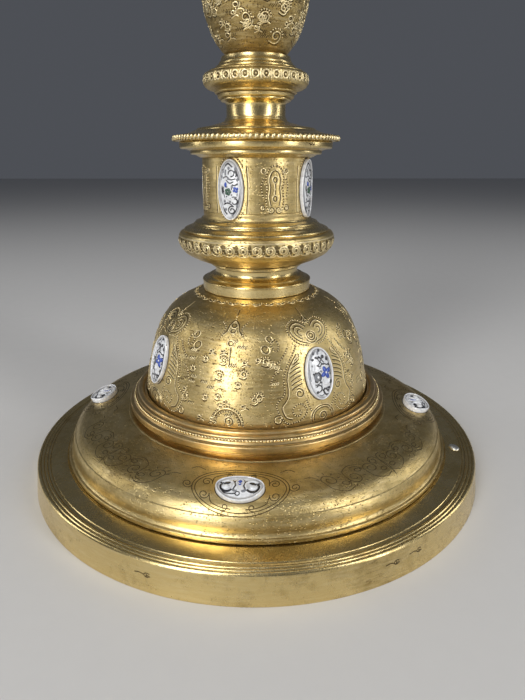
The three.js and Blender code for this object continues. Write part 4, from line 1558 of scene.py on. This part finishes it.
# ---- lid ----
class CIBORIUM_OT_lid(bpy.types.Operator):
    """Turns the lid and its bezel"""

    bl_idname = "ciborium.lid"
    bl_label = "Lid"

    def execute(self, context):
        for name, slot, bm in (
            ("lid_bezel", "gilt", self.bezel()), ("lid_rim", "gilt_rim", self.rim()),
            ("lid_shoulder", "gilt_engraved", self.shoulder()), ("lid_dome_rim", "gilt_rim", self.dome_rim()),
            ("lid_dome", "gilt_engraved", self.dome()),
        ):
            finished(bm, name, "lid", slot)
        skin = Skin(lid_dome_skin())
        spots = plaque_spots("lid", skin)
        engraving(
            "lid_dome_engraving", "lid", "gilt_engraved", skin,
            (Drawing().add(heart_and_scrolls(), size=0.7), spots),
            (Drawing().add(hanging_trefoil(), size=0.6), halfway(spots)),
        )
        skin = Skin(lid_shoulder_skin())
        engraving(
            "lid_shoulder_engraving", "lid", "gilt_engraved", skin,
            (
                Drawing().add(running_scroll(24), size=0.85),
                around(4, skin.up_to_radius(39.5), math.radians(31)),
            ),
        )
        wide, low, high = room("lid_dome_rim")
        beads("lid_dome_rim_beads", "lid", wide - 1.15, low + 2.2, 180, lean=0.6)
        wide, low, high = room("lid_rim")
        beads("lid_rim_beads", "lid", wide - 1.5, low + 3.5, 290, lean=0.6)
        return {"FINISHED"}

    def bezel(self):
        wide, low, high = room("lid_bezel")
        return turned(
            outline(
                (wide - 1.2, low), (wide - 0.3, low), (wide, low + 0.8, 0.2), (wide, high),
                (wide - 1.2, high),
            )
        )

    def rim(self):
        wide, low, high = room("lid_rim")
        return turned(
            outline(
                (45.7, low), (wide - 1.3, low), (wide - 0.2, low + 0.8, 0.3), (wide, low + 1.4, 0.2),
                (wide - 0.3, low + 2.7, 0.35), (wide - 1.3, low + 3.1), (wide - 1.7, low + 3.7, 0.3),
                (wide - 2.8, low + 4.0), (wide - 3.2, high, 0.3), (44.3, high), (44.3, low + 1.1),
                (45.7, low + 1.1),
            )
        )

    def shoulder(self):
        _, low, high = room("lid_shoulder")
        skin = lid_shoulder_skin()
        lining = outline((30.6, high), (30.6, high - 1.3), (42.0, 263.2), (46.9, low + 1.2, -0.35), (47, low))
        return turned(skin + lining)

    def dome_rim(self):
        wide, low, high = room("lid_dome_rim")
        return turned(
            outline(
                (29.6, low), (wide - 0.5, low), (wide, low + 0.6, 0.3), (wide - 0.1, low + 1.4, 0.3),
                (wide - 0.9, low + 1.7), (wide - 1.4, low + 2.5, 0.3), (wide - 2.2, low + 2.8),
                (wide - 2.7, low + 3.6, 0.3), (30.2, high, -0.1), (29.6, high),
            )
        )

    def dome(self):
        _, low, high = room("lid_dome")
        skin = lid_dome_skin()
        lining = outline(
            (2.2, high), (2.2, high - 1.3), (8.6, high - 1.3), (24.4, 279.3, -0.15), (27.9, low, -0.08),
        )
        return turned(skin + lining)


def lid_shoulder_skin():
    _, low, high = room("lid_shoulder")
    return outline(
        (49.4, low), (49.2, low + 0.5, 0.3), (48.4, low + 0.9), (48.1, low + 2.2, 0.1),
        (42, high - 1.8, 0.34), (33.6, high - 0.4), (33.4, high),
    )


def lid_dome_skin():
    _, low, high = room("lid_dome")
    return outline((29.3, low), (29.0, low + 4), (25.6, 280.1, 0.12), (17.5, 287.3, 0.12), (8.6, high, 0.07))


class CIBORIUM_OT_finial(bpy.types.Operator):
    """Turns the finial's base and ball, and cuts the cross"""

    bl_idname = "ciborium.finial"
    bl_label = "Finial"

    def execute(self, context):
        wide, low, high = room("finial_base")
        base = bored(
            (7.8, low), (wide, low + 0.5, 0.4), (wide - 0.3, low + 1.0, 0.3), (6.9, low + 1.5),
            (4.6, low + 2.3, -0.2), (3.9, high - 0.8, -0.2), (4.0, high), bore=2.2,
        )
        finished(base, "finial_base", "finial", "gilt")
        wide, low, high = room("finial_ball")
        ball = bored((3.6, low), (3.65, low + 0.5), (3.3, high - 0.9, 1.25), (3.3, high), bore=2.2)
        finished(ball, "finial_ball", "finial", "gilt")
        self.cross()
        return {"FINISHED"}

    def cross(self):
        """A Latin cross with a round lobe on each free arm, and bosses on both faces."""
        half, low, high = room("cross")
        tang, tang_depth, root, arm, lobe, thick, edge = 1.4, 4, 3, 1.7, 3.1, 3, 0.45
        foot = low + tang_depth
        crossing = (high - foot) * 0.62
        mouth = math.degrees(math.asin(arm / lobe))
        lobes = ((half - lobe, crossing, 0), (0, high - foot - lobe, 90), (lobe - half, crossing, 180))
        ends = [bow(x, y, lobe, lobe, way - 180 + mouth, 360 - 2 * mouth) for x, y, way in lobes]
        right = np.array(
            [(tang, -tang_depth), (tang, 0), (root, 0), (root - 0.2, 0.7), (arm, root), (arm, crossing - arm)]
        )
        notch = np.array([(arm, crossing + arm)])
        points = np.concatenate(
            (right, ends[0], notch, ends[1], notch * (-1, 1), ends[2], right[::-1] * (-1, 1))
        )
        curve = bpy.data.curves.new("cross_outline", "CURVE")
        curve.dimensions = "2D"
        curve.fill_mode = "BOTH"
        curve.extrude = (thick / 2 - edge) * MM
        curve.bevel_depth = edge * MM
        curve.bevel_resolution = 2
        curve.offset = -edge * MM
        line = curve.splines.new("POLY")
        line.points.add(len(points) - 1)
        for point, (x, y) in zip(line.points, points):
            point.co = (x * MM, y * MM, 0, 1)
        line.use_cyclic_u = True
        drawn = bpy.data.objects.new("cross_outline", curve)
        bm = bmesh.new()
        bm.from_mesh(drawn.to_mesh())
        bpy.data.objects.remove(drawn)
        bpy.data.curves.remove(curve)
        bmesh.ops.remove_doubles(bm, verts=bm.verts, dist=MERGE)
        bm.verts.layers.float.new("groove")
        for side in (-1, 1):
            flat = [(0, crossing, 1.9)] + [(x, y, 1.2) for x, y, _ in lobes]
            for x, y, radius in flat:
                boss(bm, x * MM, y * MM, radius * MM, 0.45, 0, 3, base=side * (thick / 2 - 0.15) * MM)
        shrink = min(1, thick * MM / 2 / max(vert.co.z for vert in bm.verts))
        stand = Matrix.Translation((0, 0, foot * MM)) @ Matrix.Rotation(math.radians(90), 4, "X")
        bmesh.ops.transform(bm, matrix=stand @ Matrix.Diagonal((1, 1, shrink, 1)), verts=bm.verts)
        finished(bm, "cross", "finial", "gilt")


# ---- iron ----
class CIBORIUM_OT_fittings(bpy.types.Operator):
    """Finishes the iron rod, washer, nuts, stud and socket that hold the stem and the finial"""

    bl_idname = "ciborium.fittings"
    bl_label = "Iron fittings"

    def execute(self, context):
        thread, pitch, depth = 16, 1.0, 0.5
        radius, low, high = room("tie_rod")
        points = [Vector((0, low)), Vector((radius - 0.7, low))]
        for i in range(thread):
            points += [
                Vector((radius, low + (i + 0.6) * pitch)), Vector((radius - depth, low + (i + 1.1) * pitch)),
            ]
        points += [
            Vector((radius, low + (thread + 1) * pitch)), Vector((radius, high - 0.6)),
            Vector((radius - 0.6, high)),
        ]
        finished(turned(points + [Vector((0, high))], closed=False), "tie_rod", "cup", "iron")
        for node, body, ease in (
            ("tie_washer", "washer", 0.25), ("tie_nut", "nut", 0.5), ("cup_socket", "cup", 0.25),
            ("finial_stud", "finial", 0.2), ("finial_nut", "finial", 0.3),
        ):
            self.eased(node, body, ease)
        return {"FINISHED"}

    def eased(self, node, body, width):
        """A copy of a node of the frame with its sharp edges eased."""
        bm = bmesh.new()
        bm.from_mesh(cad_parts[node].data)
        bmesh.ops.remove_doubles(bm, verts=bm.verts, dist=1e-6)
        flat, sharp_from = math.radians(1), math.radians(35)
        bmesh.ops.dissolve_limit(bm, angle_limit=flat, verts=bm.verts, edges=bm.edges)
        sharp = [edge for edge in bm.edges if edge.is_manifold and edge.calc_face_angle() > sharp_from]
        bmesh.ops.bevel(
            bm, geom=sharp, offset=width * MM, offset_type="OFFSET", affect="EDGES", segments=2, profile=0.5,
            material=-1,
        )
        finished(bm, node, body, "iron")


class CIBORIUM_OT_plaques(bpy.types.Operator):
    """Sets four enamel plaques on each of the foot, dome, drum, knop, casing and lid"""

    bl_idname = "ciborium.plaques"
    bl_label = "Plaques"

    def execute(self, context):
        for row, body, skin, wide, tall, proud, design in (
            ("foot", "foot", shoulder_skin, 7, 4.6, 1.9, lying_plaque),
            ("dome", "foot", dome_skin, 5, 8.3, 1.5, upright_plaque),
            ("drum", "stem", drum_skin, 4.2, 9.05, 1.3, tall_plaque),
            ("knop", "knop", knop_skin, 3.7, 6.5, 1.3, tall_plaque),
            ("casing", "cup", casing_skin, 4.6, 7.5, 1.5, upright_plaque),
            ("lid", "lid", lid_dome_skin, 3.8, 6, 1.4, upright_plaque),
        ):
            plaque_row(row, body, Skin(skin()), wide, tall, proud, design)
        return {"FINISHED"}


# ---- stage ----
class CIBORIUM_OT_stage(bpy.types.Operator):
    """Lays the floor, and places the lights and the camera"""

    bl_idname = "ciborium.stage"
    bl_label = "Stage"

    def execute(self, context):
        settings = stage()
        scene = context.scene
        bm = bmesh.new()
        reach = 3
        bmesh.ops.create_grid(bm, x_segments=1, y_segments=1, size=reach)
        mesh = bpy.data.meshes.new("floor")
        bm.to_mesh(mesh)
        bm.free()
        floor = bpy.data.objects.new("floor", mesh)
        scene.collection.objects.link(floor)
        mesh.materials.append(finish("floor"))

        world = bpy.data.worlds.new("room")
        scene.world = world
        world.use_nodes = True
        world.node_tree.nodes["Background"].inputs["Color"].default_value = (*settings.surround, 1)
        world.node_tree.nodes["Background"].inputs["Strength"].default_value = 1.0

        self.light("key", settings.key, (-0.42, -0.72, 0.48), (0.30, 0.95))
        self.light("fill", settings.fill, (0.70, -0.55, 0.45), (0.16, 0.9))
        self.light("left edge", settings.edge, (-0.95, 0.05, 0.42), (0.14, 0.8))
        self.light("right edge", settings.edge, (0.95, 0.12, 0.42), (0.14, 0.8))
        self.light("top", settings.top, (0.0, 0.15, 0.95), (0.5, 0.5))
        scene.view_settings.view_transform = "Standard"

        lens = bpy.data.cameras.new("camera")
        lens.sensor_width = 36
        lens.sensor_fit = "AUTO"
        lens.lens = settings.lens
        lens.clip_start = 0.01
        camera = bpy.data.objects.new("camera", lens)
        camera.location = settings.camera_place
        camera.rotation_euler = (math.radians(90) - settings.camera_tilt, 0, -settings.camera_turn)
        scene.collection.objects.link(camera)
        scene.camera = camera
        return {"FINISHED"}

    def light(self, name, power, place, size):
        data = bpy.data.lights.new(name, "AREA")
        data.shape = "RECTANGLE"
        data.size, data.size_y = size
        data.energy = power
        lamp = bpy.data.objects.new(name, data)
        lamp.location = place
        aim = Vector((0, 0, 0.1)) - Vector(place)
        lamp.rotation_euler = aim.to_track_quat("-Z", "Y").to_euler()
        bpy.context.scene.collection.objects.link(lamp)


OPERATORS = (
    CIBORIUM_OT_foot, CIBORIUM_OT_dome, CIBORIUM_OT_stem, CIBORIUM_OT_knop, CIBORIUM_OT_cup, CIBORIUM_OT_lid,
    CIBORIUM_OT_finial, CIBORIUM_OT_fittings, CIBORIUM_OT_plaques, CIBORIUM_OT_stage,
)


class CIBORIUM_PT_panel(bpy.types.Panel):
    """Lists the ciborium's pieces and the values that shape them"""

    bl_idname = "CIBORIUM_PT_panel"
    bl_label = "Ciborium"
    bl_space_type = "VIEW_3D"
    bl_region_type = "UI"
    bl_category = "Ciborium"

    def draw(self, context):
        for group in (sizes(), colours(), stage()):
            box = self.layout.box()
            for key in group.__annotations__:
                box.prop(group, key)
        for operator in OPERATORS:
            self.layout.operator(operator.bl_idname)


CLASSES = (CiboriumSizes, CiboriumColours, CiboriumStage, *OPERATORS, CIBORIUM_PT_panel)


def register():
    for kind in CLASSES:
        bpy.utils.register_class(kind)
    bpy.types.Scene.ciborium_sizes = PointerProperty(type=CiboriumSizes)
    bpy.types.Scene.ciborium_colours = PointerProperty(type=CiboriumColours)
    bpy.types.Scene.ciborium_stage = PointerProperty(type=CiboriumStage)


def unregister():
    del bpy.types.Scene.ciborium_stage
    del bpy.types.Scene.ciborium_colours
    del bpy.types.Scene.ciborium_sizes
    for kind in reversed(CLASSES):
        bpy.utils.unregister_class(kind)


def main():
    register()
    for operator in OPERATORS:
        group, name = operator.bl_idname.split(".")
        getattr(getattr(bpy.ops, group), name)()


if __name__ == "__main__":
    main()
